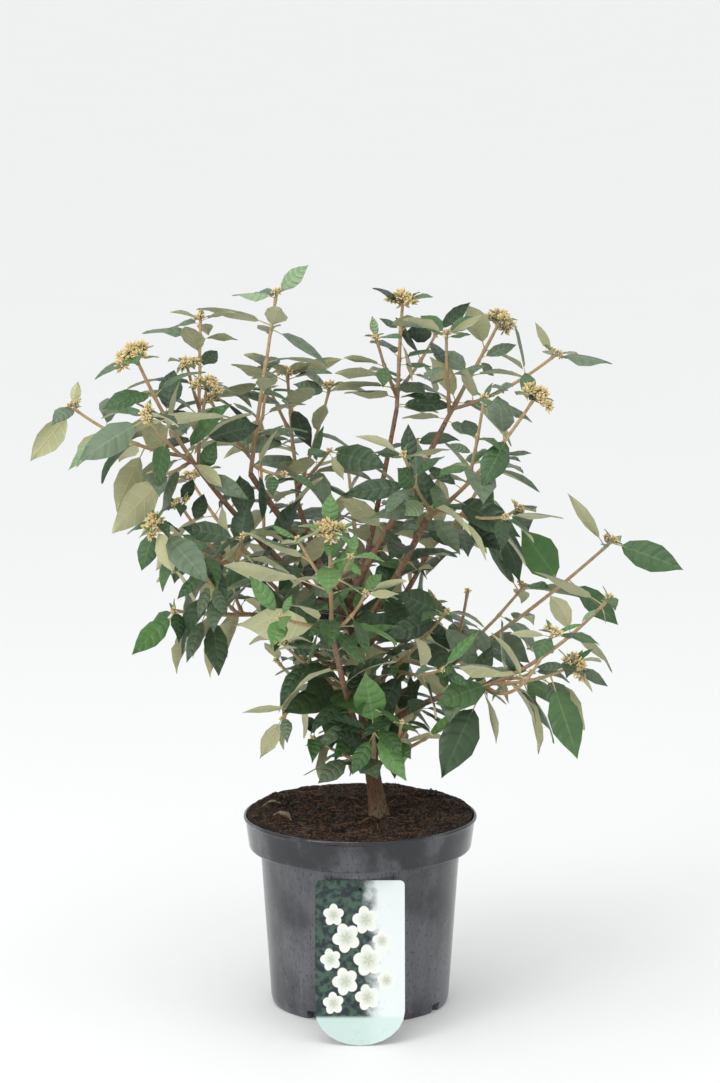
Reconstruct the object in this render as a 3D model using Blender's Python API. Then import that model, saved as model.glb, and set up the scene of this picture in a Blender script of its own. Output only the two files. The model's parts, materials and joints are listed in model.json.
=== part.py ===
"""A young snowball viburnum in its round nursery pot, built the way the real shrub grows.

One leaning trunk stands in a pot of peat. Boughs leave it in opposite pairs, and each bough ends
where it enters a mass of foliage. A mass is one stem with its side shoots, pairs of opposite
leaves and the tan bud heads that the shrub carries through winter, all fused into one solid.
The pot stands at z = 0 with its axis on z, and the front of the plant faces -y.
"""

import math
from collections import namedtuple

import bmesh
import bpy
import numpy as np
from mathutils import Matrix, Vector
from mathutils.bvhtree import BVHTree

CM = 0.01
MM = 0.001
GAP = 0.3 * MM  # clearance between neighbouring pieces
UP = np.array([0.0, 0.0, 1.0])
NUDGE = np.array([1e-6, 0.0, 0.0])  # keeps an upright direction from having no side

# The pot, a 26 cm container
POT_SIDES = 36
POT_HEIGHT = 21.5 * CM
RIM_RADIUS = 13.0 * CM
RIM_BAND = 3.7 * CM
BAND_FOOT_RADIUS = 12.4 * CM
BODY_TOP_RADIUS = 11.15 * CM
BASE_RADIUS = 9.9 * CM
BASE_ROUND = 0.8 * CM
LEDGE_SLOPE = 0.15 * CM
LIP = 0.1 * CM
WALL = 2.0 * MM
FLOOR = 3.0 * MM
DRAIN_HOLES = 6
DRAIN_RADIUS = 0.6 * CM
DRAIN_RING = 7.4 * CM

# The peat that fills the pot
SOIL_LEVEL = 20.7 * CM
SOIL_SWELL = 0.5 * CM

# The plain label that leans on the front of the pot
TAG_WIDTH = 9.8 * CM
TAG_LENGTH = 18.1 * CM
TAG_THICKNESS = 0.8 * MM
TAG_ROUND_END = 3.8 * CM
TAG_CORNER = 0.5 * CM
TAG_LEAN = math.radians(23.0)
TAG_HOLE_RADIUS = 1.8 * MM
TAG_HOLE_DROP = 1.0 * CM

# The trunk
TRUNK_FOOT = np.array([2.2, 0.0, 20.73]) * CM
TRUNK_TOP = np.array([-1.4, 1.0, 48.0]) * CM
TRUNK_BOW = 0.02
TRUNK_RADII = (9.5 * MM, 5.2 * MM)
FLARE = 5.0 * MM
FLARE_SHARE = 0.05
TRUNK_SIDES = 12
TRUNK_RINGS = 11
BOUGH_SIDES = 6
BOUGH_RINGS = 6

# Shoots, leaves and bud heads
SEED = 12
SHOOT_SIDES = 3
STEM_RADII = (2.6 * MM, 1.7 * MM)
SIDE_RADII = (2.2 * MM, 1.6 * MM)
CHORD_ERROR = 0.7 * MM  # how far a shoot's straight stretches may lie from its curve
LEAF_WIDTH = 0.42  # of its length
LEAF_WIDEST = 0.46  # where along its length
LEAF_ARCH = 0.1  # of its length
LEAF_THICKNESS = 0.016  # of its length
STALK_SHARE = 0.16
STALK_RADIUS = 0.6 * MM
ROOT_STEP = 0.3 * MM  # how far a stalk's root is from its shoot's middle
FIRST_PAIR, LAST_PAIR = 0.2, 0.96
PAIR_SIZES = (0.62, 0.86, 1.0, 1.0, 0.92)  # of the shoot's leaf length, from its tip down
JITTER = 0.28
CLEAR = 0.5 * MM  # how far a leaf keeps from everything it isn't rooted in
LEAF_TRIES = (0.0, 0.35, -0.35, 0.7, -0.7, 1.05)  # turns about the shoot, in radians
BUD_FLATNESS = 0.85

Bough = namedtuple("Bough", "share tip bow radii")
Mass = namedtuple("Mass", "carrier droop shoots leaves", defaults=[()])
Shoot = namedtuple("Shoot", "parent share tip bow pairs leaf bud")
PlacedLeaf = namedtuple("PlacedLeaf", "shoot share tip face")

# Where each bough leaves the trunk, where it ends in cm, how far it sags, and its radii in mm
BOUGHS = {
    "bough_left": Bough(0.95, (-12.0, -3.0, 60.5), 0.05, (4.4, 3.3)),
    "bough_upper_right": Bough(0.95, (9.4, 4.0, 65.0), 0.02, (4.4, 3.0)),
    "bough_far_left": Bough(0.87, (-17.0, -8.0, 61.2), 0.06, (4.0, 2.8)),
    "bough_centre": Bough(0.87, (4.1, 8.0, 66.0), 0.04, (3.6, 2.6)),
    "bough_right": Bough(0.79, (7.2, -6.0, 56.0), 0.06, (4.2, 3.4)),
    "bough_mid_left": Bough(0.79, (-6.9, 8.0, 55.0), 0.05, (3.8, 3.0)),
    "bough_side_left": Bough(0.70, (-12.5, -6.5, 50.5), 0.05, (3.4, 2.6)),
    "bough_back_right": Bough(0.70, (8.0, 12.0, 49.5), 0.06, (3.6, 2.8)),
    "bough_low_left": Bough(0.60, (-12.0, -4.0, 45.0), 0.0, (3.2, 2.4)),
    "bough_back": Bough(0.60, (0.0, 13.5, 47.0), 0.06, (3.4, 2.6)),
    "bough_long_right": Bough(0.48, (7.6, 5.5, 35.6), 0.0, (3.8, 3.0)),
    "bough_back_left": Bough(0.48, (-9.5, 11.0, 45.0), 0.05, (3.4, 2.6)),
    "bough_low_right": Bough(0.37, (13.0, -8.5, 37.7), -0.06, (4.0, 2.9)),
    "bough_low_back": Bough(0.30, (3.0, 10.5, 37.0), 0.04, (3.2, 2.5)),
    "bough_front": Bough(0.30, (-3.0, -13.4, 44.6), 0.08, (3.8, 3.0)),
}

# Each mass grows from a bough's tip, or from a share of the trunk's height, and its leaves droop
# by the number given. The first shoot is its stem, and the others leave the shoot with the index
# given. Tips and leaf lengths are in cm, and bud heads in mm of radius, with 0 for a pruned end.
# Leaves grow in pairs by rule. The ones that stand out are placed by hand: each has its shoot and
# share, its tip in cm and the way its upper face looks.
FOLIAGE = {
    "foliage_upper_left": Mass("bough_left", 0.30, (
        Shoot(None, 0.0, (-9.2, 4.0, 79.6), -0.03, 5, 7.6, 8),
        Shoot(0, 0.07, (-16.6, 2.0, 68.0), 0.04, 3, 6.4, 10),
        Shoot(0, 0.14, (-10.4, 9.0, 68.2), 0.05, 3, 6.8, 8),
        Shoot(0, 0.05, (-8.2, -9.0, 61.5), 0.05, 2, 6.5, 5),
    ), (
        PlacedLeaf(0, 0.99, (-5.6, 3.0, 82.4), (-0.3, -0.7, 0.9)),
        PlacedLeaf(0, 0.97, (-13.4, 4.0, 79.6), (0.2, -0.5, 0.9)),
    )),
    "foliage_far_left": Mass("bough_far_left", 0.45, (
        Shoot(None, 0.0, (-24.3, -10.0, 74.8), 0.06, 4, 7.4, 17),
        Shoot(0, 0.07, (-17.6, 3.0, 77.0), 0.05, 5, 7.2, 8),
        Shoot(0, 0.12, (-22.8, -17.0, 69.2), 0.05, 3, 8.4, 10),
        Shoot(0, 0.20, (-31.2, -7.5, 68.6), 0.08, 4, 7.4, 8),
        Shoot(1, 0.30, (-16.6, -5.5, 70.8), 0.05, 2, 5.5, 13),
        Shoot(1, 0.45, (-18.9, -4.0, 72.8), 0.05, 1, 5.0, 11),
        Shoot(0, 0.16, (-22.5, -12.5, 62.0), 0.08, 2, 9.4, 6),
    ), (
        PlacedLeaf(3, 0.98, (-35.5, -9.5, 62.4), (0.2, 1.0, 0.3)),
        PlacedLeaf(2, 0.95, (-29.8, -19.0, 64.4), (0.1, -0.8, 0.7)),
        PlacedLeaf(6, 0.50, (-26.6, -15.0, 57.6), (0.4, 1.0, 0.2)),
        PlacedLeaf(6, 0.75, (-27.6, -19.0, 56.4), (0.2, 1.0, 0.5)),
        PlacedLeaf(2, 0.88, (-14.2, -15.5, 68.4), (0.0, 0.6, 1.0)),
    )),
    "foliage_mid_left": Mass("bough_mid_left", 0.25, (
        Shoot(None, 0.0, (-8.2, 12.0, 69.6), 0.02, 4, 7.4, 10),
        Shoot(0, 0.10, (-3.4, 16.0, 67.4), 0.04, 3, 7.0, 9),
        Shoot(0, 0.55, (-10.8, 13.5, 69.0), 0.05, 2, 6.4, 7),
        Shoot(0, 0.16, (-3.4, 4.0, 62.0), 0.05, 3, 7.2, 5),
    )),
    "foliage_top_centre": Mass("bough_centre", 0.20, (
        Shoot(None, 0.0, (4.8, 10.0, 78.2), 0.0, 4, 6.8, 15),
        Shoot(0, 0.10, (1.7, 3.0, 74.9), 0.03, 3, 6.8, 6),
        Shoot(0, 0.16, (8.8, 17.0, 73.6), 0.04, 3, 7.0, 8),
    )),
    "foliage_upper_right": Mass("bough_upper_right", 0.25, (
        Shoot(None, 0.0, (15.8, 10.0, 75.9), 0.0, 4, 7.0, 15),
        Shoot(0, 0.08, (9.5, 2.0, 75.4), 0.03, 3, 6.6, 7),
        Shoot(0, 0.14, (21.6, 1.0, 73.2), 0.06, 4, 6.6, 8),
    ), (
        PlacedLeaf(2, 0.98, (27.6, 0.0, 72.4), (-0.1, -0.4, 1.0)),
    )),
    "foliage_right": Mass("bough_right", 0.35, (
        Shoot(None, 0.0, (19.0, -11.0, 70.5), 0.07, 4, 8.0, 15),
        Shoot(0, 0.38, (13.4, -9.5, 70.0), 0.06, 3, 7.0, 6),
        Shoot(0, 0.07, (4.7, -11.5, 64.0), 0.08, 3, 6.6, 6),
        Shoot(0, 0.12, (15.6, -13.5, 57.6), 0.05, 3, 8.4, 5),
    ), (
        PlacedLeaf(0, 0.74, (13.1, -15.0, 60.8), (-0.4, -1.0, 0.4)),
        PlacedLeaf(0, 0.22, (17.4, -13.0, 55.0), (-0.2, -0.9, 0.6)),
        PlacedLeaf(0, 0.50, (19.6, -6.0, 59.2), (0.3, -0.4, 0.9)),
    )),
    "foliage_long_right": Mass("bough_long_right", 0.45, (
        Shoot(None, 0.0, (28.2, 4.0, 51.8), 0.03, 4, 7.4, 8),
        Shoot(0, 0.06, (18.6, 13.0, 44.8), 0.03, 4, 7.0, 8),
        Shoot(0, 0.13, (12.0, 2.0, 46.5), 0.08, 3, 7.4, 5),
    ), (
        PlacedLeaf(0, 0.99, (36.0, 1.5, 48.4), (0.1, -0.9, 0.8)),
        PlacedLeaf(0, 0.96, (22.9, 5.0, 57.2), (0.5, 0.6, 0.6)),
        PlacedLeaf(0, 0.72, (17.9, 2.0, 53.6), (-0.3, -0.9, 0.3)),
        PlacedLeaf(0, 0.76, (28.9, 4.0, 42.0), (-0.2, -0.8, 0.8)),
        PlacedLeaf(1, 0.95, (13.8, 12.0, 50.4), (-0.6, -0.5, 0.6)),
    )),
    "foliage_low_right": Mass("bough_low_right", 0.50, (
        Shoot(None, 0.0, (27.2, -8.0, 47.6), 0.08, 4, 7.2, 7),
        Shoot(0, 0.10, (23.3, -13.5, 41.4), 0.06, 3, 8.2, 13),
        Shoot(0, 0.05, (20.6, -19.5, 46.2), 0.20, 3, 8.0, 9),
        Shoot(0, 0.20, (19.0, -4.0, 38.5), 0.05, 3, 8.0, 5),
    ), (
        PlacedLeaf(1, 0.70, (23.4, -15.5, 31.2), (0.3, -1.0, 0.3)),
        PlacedLeaf(0, 0.04, (9.2, -12.5, 28.2), (-0.3, -1.0, 0.4)),
        PlacedLeaf(2, 0.62, (9.4, -19.5, 42.0), (0.0, 0.9, 0.8)),
        PlacedLeaf(0, 0.35, (11.8, -12.0, 45.6), (0.2, -0.8, 0.8)),
        PlacedLeaf(0, 0.95, (19.0, -8.5, 50.8), (0.2, 0.7, 0.8)),
        PlacedLeaf(2, 0.97, (16.0, -22.0, 46.0), (0.0, 0.5, 1.0)),
        PlacedLeaf(3, 0.60, (19.4, -3.0, 29.8), (1.0, -0.5, 0.3)),
    )),
    "foliage_front": Mass("bough_front", 0.35, (
        Shoot(None, 0.0, (-3.3, -18.5, 57.2), 0.06, 4, 7.6, 15),
        Shoot(0, 0.50, (-6.6, -17.0, 55.8), 0.05, 2, 5.0, 5),
        Shoot(0, 0.52, (-1.0, -20.5, 54.6), 0.10, 2, 5.4, 5),
        Shoot(0, 0.08, (0.6, -19.5, 50.4), 0.10, 3, 6.4, 5),
        Shoot(0, 0.12, (-8.6, -18.0, 47.5), 0.05, 2, 6.6, 5),
    ), (
        PlacedLeaf(0, 0.48, (-14.6, -17.0, 53.0), (0.0, 1.0, 0.8)),
        PlacedLeaf(0, 0.06, (-13.0, -14.0, 46.0), (0.1, 1.0, 0.4)),
        PlacedLeaf(3, 0.96, (5.0, -21.0, 50.4), (0.0, 0.8, 0.8)),
        PlacedLeaf(4, 0.93, (-9.6, -22.0, 44.6), (-0.3, -0.9, 0.6)),
    )),
    "foliage_low_left": Mass("bough_low_left", 0.95, (
        Shoot(None, 0.0, (-20.2, -9.0, 46.4), 0.02, 4, 7.6, 7),
        Shoot(0, 0.15, (-17.0, -11.5, 51.5), 0.05, 3, 8.4, 5),
        Shoot(0, 0.10, (-14.5, 2.0, 48.5), 0.05, 2, 7.0, 5),
    ), (
        PlacedLeaf(0, 0.96, (-24.6, -11.5, 41.4), (-0.3, -0.9, 0.6)),
        PlacedLeaf(0, 0.50, (-15.6, -11.5, 39.2), (0.1, -1.0, 0.3)),
        PlacedLeaf(1, 0.60, (-16.4, -15.5, 44.2), (0.2, -1.0, 0.4)),
    )),
    "foliage_side_left": Mass("bough_side_left", 0.75, (
        Shoot(None, 0.0, (-22.2, -14.0, 57.0), 0.05, 4, 7.6, 12),
        Shoot(0, 0.18, (-19.6, -8.5, 58.2), 0.05, 2, 6.8, 9),
        Shoot(0, 0.12, (-12.6, -13.5, 55.5), 0.06, 3, 7.6, 5),
    ), (
        PlacedLeaf(0, 0.92, (-16.8, -18.5, 51.0), (0.3, -1.0, 0.5)),
        PlacedLeaf(0, 0.98, (-20.6, -16.5, 51.4), (0.3, 1.0, 0.2)),
    )),
    "foliage_back_right": Mass("bough_back_right", 0.60, (
        Shoot(None, 0.0, (15.5, 20.0, 58.0), 0.06, 4, 8.0, 10),
        Shoot(0, 0.10, (6.0, 19.0, 60.5), 0.05, 3, 7.8, 8),
        Shoot(0, 0.18, (18.0, 12.0, 54.0), 0.05, 3, 8.0, 8),
    )),
    "foliage_back": Mass("bough_back", 0.60, (
        Shoot(None, 0.0, (-1.5, 24.0, 58.0), 0.06, 4, 8.0, 11),
        Shoot(0, 0.10, (-8.0, 19.0, 53.0), 0.06, 3, 7.4, 7),
        Shoot(0, 0.16, (6.5, 24.5, 51.0), 0.06, 3, 8.0, 8),
    )),
    "foliage_back_left": Mass("bough_back_left", 0.60, (
        Shoot(None, 0.0, (-19.5, 16.0, 57.0), 0.06, 4, 8.0, 10),
        Shoot(0, 0.10, (-11.5, 20.5, 60.0), 0.07, 3, 7.8, 8),
        Shoot(0, 0.16, (-20.5, 9.0, 49.0), 0.05, 3, 8.2, 7),
    )),
    "foliage_low_back": Mass("bough_low_back", 0.60, (
        Shoot(None, 0.0, (8.5, 21.0, 41.5), 0.04, 4, 7.6, 8),
        Shoot(0, 0.12, (-4.5, 20.5, 41.0), 0.05, 4, 7.6, 7),
    )),
    "spray_centre_left": Mass(0.53, 0.60, (
        Shoot(None, 0.0, (-8.5, -7.5, 42.5), 0.04, 4, 7.4, 5),
        Shoot(0, 0.35, (-8.6, -6.5, 33.8), -0.10, 3, 6.4, 4),
    ), (
        PlacedLeaf(1, 0.97, (-11.0, -8.0, 29.4), (0.7, -0.7, 0.1)),
        PlacedLeaf(1, 0.82, (-13.0, -7.0, 34.4), (0.2, 0.8, 0.8)),
    )),
    "spray_centre_right": Mass(0.56, 0.60, (
        Shoot(None, 0.0, (9.5, -7.0, 46.0), 0.05, 4, 7.6, 5),
        Shoot(0, 0.35, (9.0, -12.0, 40.5), 0.05, 3, 7.4, 4),
    )),
    "spray_back_low_left": Mass(0.36, 0.60, (
        Shoot(None, 0.0, (-9.5, 9.5, 37.0), 0.04, 4, 7.6, 5),
    )),
    "spray_low_right": Mass(0.24, 0.60, (
        Shoot(None, 0.0, (7.4, -5.5, 31.4), 0.0, 2, 6.2, 0),
        Shoot(0, 0.30, (4.6, -11.0, 34.5), 0.05, 3, 7.2, 4),
    )),
    "spray_low_front": Mass(0.19, 0.60, (
        Shoot(None, 0.0, (0.4, -6.5, 30.0), 0.02, 3, 7.8, 4),
        Shoot(0, 0.30, (-5.2, -5.5, 31.5), 0.05, 3, 7.2, 4),
    ), (
        PlacedLeaf(0, 0.95, (5.0, -9.0, 25.6), (0.1, -0.9, 0.6)),
        PlacedLeaf(0, 0.80, (-1.2, -8.5, 25.2), (-0.5, -0.9, 0.3)),
        PlacedLeaf(1, 0.80, (-5.0, -8.0, 24.6), (-0.5, -0.9, 0.3)),
    )),
    "spray_low_back": Mass(0.22, 0.60, (
        Shoot(None, 0.0, (7.0, 8.0, 32.0), 0.04, 3, 7.6, 4),
    )),
}

# Base colour and roughness
MATERIALS = {
    "pot_plastic": ((0.075, 0.078, 0.083), 0.32),
    "peat": ((0.055, 0.036, 0.024), 0.95),
    "label_card": ((0.80, 0.86, 0.84), 0.35),
    "bark": ((0.16, 0.10, 0.06), 0.85),
    "young_bark": ((0.30, 0.17, 0.09), 0.65),
    "foliage": ((0.09, 0.17, 0.07), 0.5),
}


def unit(vector):
    return vector / np.linalg.norm(vector)


class Limb:
    """A tapering limb on one bend: a quadratic curve from its start to its tip.

    It sags or rises in its own upright plane, so one level direction lies across all of it.
    """

    def __init__(self, start, tip, bow, radii, flare=0.0, foot=None):
        self.start = start
        self.tip = tip
        self.sag = bow * np.linalg.norm(tip - start)
        self.bend = (start + tip) / 2 - 2 * self.sag * UP
        self.across = unit(np.cross(tip - start + NUDGE, UP))
        self.radii = radii
        self.flare = flare
        self.foot = foot  # the direction that its first ring faces, where it isn't the curve's

    def point(self, share):
        rest = 1 - share
        return rest * rest * self.start + 2 * rest * share * self.bend + share * share * self.tip

    def tangent(self, share):
        return unit((1 - share) * (self.bend - self.start) + share * (self.tip - self.bend))

    def radius(self, share):
        root, tip = self.radii
        return root + (tip - root) * share + self.flare * math.exp(-share / FLARE_SHARE)

    def ring(self, share, sides, swell):
        """Points round the limb, in the plane that its curve crosses squarely."""
        along = self.foot if share == 0.0 and self.foot is not None else self.tangent(share)
        across = unit(self.across - along * (self.across @ along))
        other = np.cross(along, across)
        reach = self.radius(share) + swell
        turns = np.arange(sides) * 2 * math.pi / sides
        return [self.point(share) + reach * (math.cos(turn) * across + math.sin(turn) * other) for turn in turns]


def limb_mesh(limb, sides, rings, swell=0.0):
    """A limb's rings, joined by quads and closed by flat ends."""
    points = [point for share in np.linspace(0.0, 1.0, rings) for point in limb.ring(share, sides, swell)]
    faces = []
    for ring in range(rings - 1):
        for side in range(sides):
            low = ring * sides + side
            beside = ring * sides + (side + 1) % sides
            faces.append((low, beside, beside + sides, low + sides))
    faces.append(tuple(range(sides))[::-1])
    faces.append(tuple(range((rings - 1) * sides, rings * sides)))
    return points, faces


def trunk_mesh(trunk, swell=0.0):
    return limb_mesh(trunk, TRUNK_SIDES, TRUNK_RINGS, swell)


def bough_mesh(bough):
    return limb_mesh(bough, BOUGH_SIDES, BOUGH_RINGS)


def shoot_mesh(shoot):
    """A three-sided shoot with as many stretches as its sag needs."""
    stretches = max(2, math.ceil(math.sqrt(abs(shoot.sag) / CHORD_ERROR)))
    return limb_mesh(shoot, SHOOT_SIDES, stretches + 1)


class Leaf:
    """A leaf on one bend: its stalk starts in its shoot, and its midrib arches over to its tip."""

    def __init__(self, root, bend, tip, face):
        self.root = root
        self.bend = bend
        self.tip = tip
        self.length = np.linalg.norm(tip - root)
        self.side = unit(np.cross(tip - root, face))

    def point(self, share):
        rest = 1 - share
        return rest * rest * self.root + 2 * rest * share * self.bend + share * share * self.tip

    def normal(self, share):
        along = (1 - share) * (self.bend - self.root) + share * (self.tip - self.bend)
        return unit(np.cross(self.side, along))


def leaf_mesh(leaf, swell=0.0, first=0.0):
    """A keeled solid on seven points: three at its stalk, three where it is widest, and its tip.

    A swell makes it larger all round, and a first share above 0 leaves off the stalk's start.
    """
    half_width = LEAF_WIDTH * leaf.length / 2
    first_width = STALK_RADIUS + (half_width - STALK_RADIUS) * first / LEAF_WIDEST
    points = []
    for share, across, deep in (
        (first, first_width, 2 * STALK_RADIUS),
        (LEAF_WIDEST, half_width, LEAF_THICKNESS * leaf.length),
    ):
        lift = leaf.normal(share) * (deep / 2 + swell)
        reach = leaf.side * (across + swell)
        points += [leaf.point(share) + lift + reach, leaf.point(share) + lift - reach, leaf.point(share) - lift]
    points.append(leaf.tip + swell * unit(leaf.tip - leaf.bend))
    faces = [(0, 1, 2)]
    for side in range(3):
        beside = (side + 1) % 3
        faces.append((side, side + 3, beside + 3, beside))
        faces.append((side + 3, 6, beside + 3))
    return points, faces


def bud_mesh(shoot, radius):
    """A bud head at a shoot's tip: a ball of 20 faces, a little flatter than wide."""
    mesh = bmesh.new()
    bmesh.ops.create_icosphere(mesh, subdivisions=1, radius=radius)
    turn = Vector(shoot.tangent(1.0)).to_track_quat("Z", "Y").to_matrix().to_4x4()
    flatten = Matrix.Diagonal((1.0, 1.0, BUD_FLATNESS, 1.0))
    bmesh.ops.transform(mesh, verts=mesh.verts, matrix=Matrix.Translation(shoot.tip) @ turn @ flatten)
    points = [np.array(vert.co) for vert in mesh.verts]
    faces = [tuple(vert.index for vert in face.verts) for face in mesh.faces]
    mesh.free()
    return points, faces


def bud_shapes(name, limbs):
    """The bud heads of a mass, one at the tip of each shoot that isn't pruned."""
    return [bud_mesh(limb, shoot.bud * MM) for limb, shoot in zip(limbs, FOLIAGE[name].shoots) if shoot.bud]


def tree_of(shape):
    """What a shape's surface is tested against for overlap."""
    points, faces = shape
    return BVHTree.FromPolygons([Vector(point) for point in points], faces)


def clear_of(shape, others):
    tree = tree_of(shape)
    return not any(tree.overlap(other) for other in others)


def new_object(name, mesh, material):
    """Links a mesh into the scene, with its material."""
    obj = bpy.data.objects.new(name, mesh)
    bpy.context.scene.collection.objects.link(obj)
    mesh.materials.append(material)
    return obj


def new_material(name):
    base, roughness = MATERIALS[name]
    material = bpy.data.materials.new(name)
    material.use_nodes = True
    shader = material.node_tree.nodes["Principled BSDF"]
    shader.inputs["Base Color"].default_value = (*base, 1.0)
    shader.inputs["Roughness"].default_value = roughness
    shader.inputs["Metallic"].default_value = 0.0
    return material


def shape_object(name, shape, material, smooth=False):
    """An object made of points and faces, shaded smooth where it is round."""
    points, faces = shape
    mesh = bpy.data.meshes.new(name)
    mesh.from_pydata([tuple(point) for point in points], [], faces)
    if smooth:
        mesh.shade_smooth()
        mesh.set_sharp_from_angle(angle=math.radians(35))
    return new_object(name, mesh, material)


def cutter_object(radius, depth, sides, place, material):
    """A cylinder along its own z, put in place by a matrix."""
    mesh = bmesh.new()
    bmesh.ops.create_cone(
        mesh, cap_ends=True, segments=sides, radius1=radius, radius2=radius, depth=depth, matrix=place
    )
    data = bpy.data.meshes.new("cutter")
    mesh.to_mesh(data)
    mesh.free()
    return new_object("cutter", data, material)


def combine(obj, operation, others, solver="EXACT"):
    """Applies one Boolean between an object and some others, which it then removes."""
    group = bpy.data.collections.new("others")
    for other in others:
        group.objects.link(other)
    modifier = obj.modifiers.new("combine", "BOOLEAN")
    modifier.operation = operation
    modifier.solver = solver
    modifier.operand_type = "COLLECTION"
    modifier.collection = group
    graph = bpy.context.evaluated_depsgraph_get()
    combined = bpy.data.meshes.new_from_object(obj.evaluated_get(graph))
    obj.modifiers.clear()
    obj.data = combined
    for other in others:
        bpy.data.objects.remove(other)
    bpy.data.collections.remove(group)


def turned(profile, sides):
    """A profile of (radius, height), from axis to axis, turned round z."""
    points, rings = [], []
    turns = np.arange(sides) * 2 * math.pi / sides
    for radius, height in profile:
        if radius == 0.0:
            rings.append([len(points)] * sides)
            points.append((0.0, 0.0, height))
        else:
            rings.append(list(range(len(points), len(points) + sides)))
            points += [(radius * math.cos(turn), radius * math.sin(turn), height) for turn in turns]
    faces = []
    for low, high in zip(rings, rings[1:]):
        for side in range(sides):
            beside = (side + 1) % sides
            corners = (low[side], low[beside], high[beside], high[side])
            faces.append(tuple(dict.fromkeys(corners)))
    return points, faces


def body_radius(height):
    """Outer radius of the pot's wall below its rim band."""
    return BASE_RADIUS + (BODY_TOP_RADIUS - BASE_RADIUS) * height / (POT_HEIGHT - RIM_BAND)


def pot_inside(inset):
    """The pot's inner profile from the rim down to the floor, moved in by an inset."""
    ledge = POT_HEIGHT - RIM_BAND
    return [
        (RIM_RADIUS - WALL - inset, POT_HEIGHT),
        (BAND_FOOT_RADIUS - WALL - inset, ledge + 2 * WALL + inset),
        (BODY_TOP_RADIUS - WALL - inset, ledge + WALL + inset),
        (body_radius(BASE_ROUND) - WALL - inset, BASE_ROUND + inset),
        (BASE_RADIUS - BASE_ROUND - inset, FLOOR + inset),
        (0.0, FLOOR + inset),
    ]


def build_pot(material):
    """A tapered round pot with a deep rim band, a flat underside and drainage holes."""
    ledge = POT_HEIGHT - RIM_BAND
    outside = [
        (0.0, 0.0),
        (BASE_RADIUS - BASE_ROUND, 0.0),
        (body_radius(BASE_ROUND) - 0.3 * BASE_ROUND, 0.3 * BASE_ROUND),
        (body_radius(BASE_ROUND), BASE_ROUND),
        (BODY_TOP_RADIUS, ledge - LEDGE_SLOPE),
        (BAND_FOOT_RADIUS, ledge + LIP),
        (RIM_RADIUS - LIP, POT_HEIGHT - 5 * LIP),
        (RIM_RADIUS, POT_HEIGHT - LIP),
    ]
    pot = shape_object("pot", turned(outside + pot_inside(0.0), POT_SIDES), material, smooth=True)
    cutters = []
    for turn in np.arange(DRAIN_HOLES) * 2 * math.pi / DRAIN_HOLES:
        place = Matrix.Translation((DRAIN_RING * math.cos(turn), DRAIN_RING * math.sin(turn), FLOOR / 2))
        cutters.append(cutter_object(DRAIN_RADIUS, 3 * FLOOR, 10, place, material))
    combine(pot, "DIFFERENCE", cutters)
    return pot


def build_soil(material):
    """Peat that fills the pot: flat round the trunk, swelling gently towards the rim."""
    bottom = pot_inside(GAP)[:0:-1]
    top = [
        (RIM_RADIUS - WALL - GAP - LEDGE_SLOPE, SOIL_LEVEL),
        (0.78 * RIM_RADIUS, SOIL_LEVEL + SOIL_SWELL),
        (0.5 * RIM_RADIUS, SOIL_LEVEL),
        (0.0, SOIL_LEVEL),
    ]
    return shape_object("soil", turned(bottom + top, POT_SIDES), material)


def tag_outline():
    """The label's outline from its rounded foot up, with its top edge at z = 0."""
    half = TAG_WIDTH / 2
    straight = TAG_LENGTH - TAG_ROUND_END
    foot = np.linspace(math.pi, 2 * math.pi, 13)
    outline = [(half * math.cos(turn), TAG_ROUND_END * math.sin(turn) - straight) for turn in foot]
    for centre, first in ((half - TAG_CORNER, 0.0), (TAG_CORNER - half, math.pi / 2)):
        for turn in first + np.linspace(0.0, math.pi / 2, 4):
            outline.append((centre + TAG_CORNER * math.cos(turn), TAG_CORNER * (math.sin(turn) - 1)))
    return outline


def build_tag(material):
    """A blank label with a hanging hole, leaning on the pot below its rim band."""
    outline = tag_outline()
    count = len(outline)
    points = [(x, y, z) for y in (-TAG_THICKNESS / 2, TAG_THICKNESS / 2) for x, z in outline]
    faces = [tuple(range(count)), tuple(range(count, 2 * count))[::-1]]
    for corner in range(count):
        beside = (corner + 1) % count
        faces.append((beside, corner, corner + count, beside + count))
    tag = shape_object("plant_tag", (points, faces), material)
    place = Matrix.Translation((0.0, 0.0, -TAG_HOLE_DROP)) @ Matrix.Rotation(math.pi / 2, 4, "X")
    combine(tag, "DIFFERENCE", [cutter_object(TAG_HOLE_RADIUS, 5 * TAG_THICKNESS, 12, place, material)])
    tag.data.transform(Matrix.Rotation(-TAG_LEAN, 4, "X"))
    top = GAP - min(vert.co.z for vert in tag.data.vertices)
    reach = max(vert.co.y for vert in tag.data.vertices)
    tag.data.transform(Matrix.Translation((0.0, -body_radius(top) - 2 * GAP - reach, top)))
    return tag


def cut_from_trunk(obj, trunk, material):
    """Cuts an object back to the trunk's surface, with the gap between them."""
    combine(obj, "DIFFERENCE", [shape_object("cutter", trunk_mesh(trunk, GAP), material)])


def start_on_trunk(trunk, share, tip):
    """A place inside the trunk, on the side that faces the tip."""
    reach = tip - trunk.point(share)
    outward = unit(np.array([reach[0], reach[1], 0.0]))
    return trunk.point(share) + 0.35 * trunk.radius(share) * outward


def plan_boughs(trunk):
    boughs = {}
    for name, bough in BOUGHS.items():
        tip = np.array(bough.tip) * CM
        radii = [radius * MM for radius in bough.radii]
        boughs[name] = Limb(start_on_trunk(trunk, bough.share, tip), tip, bough.bow, radii)
    return boughs


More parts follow.
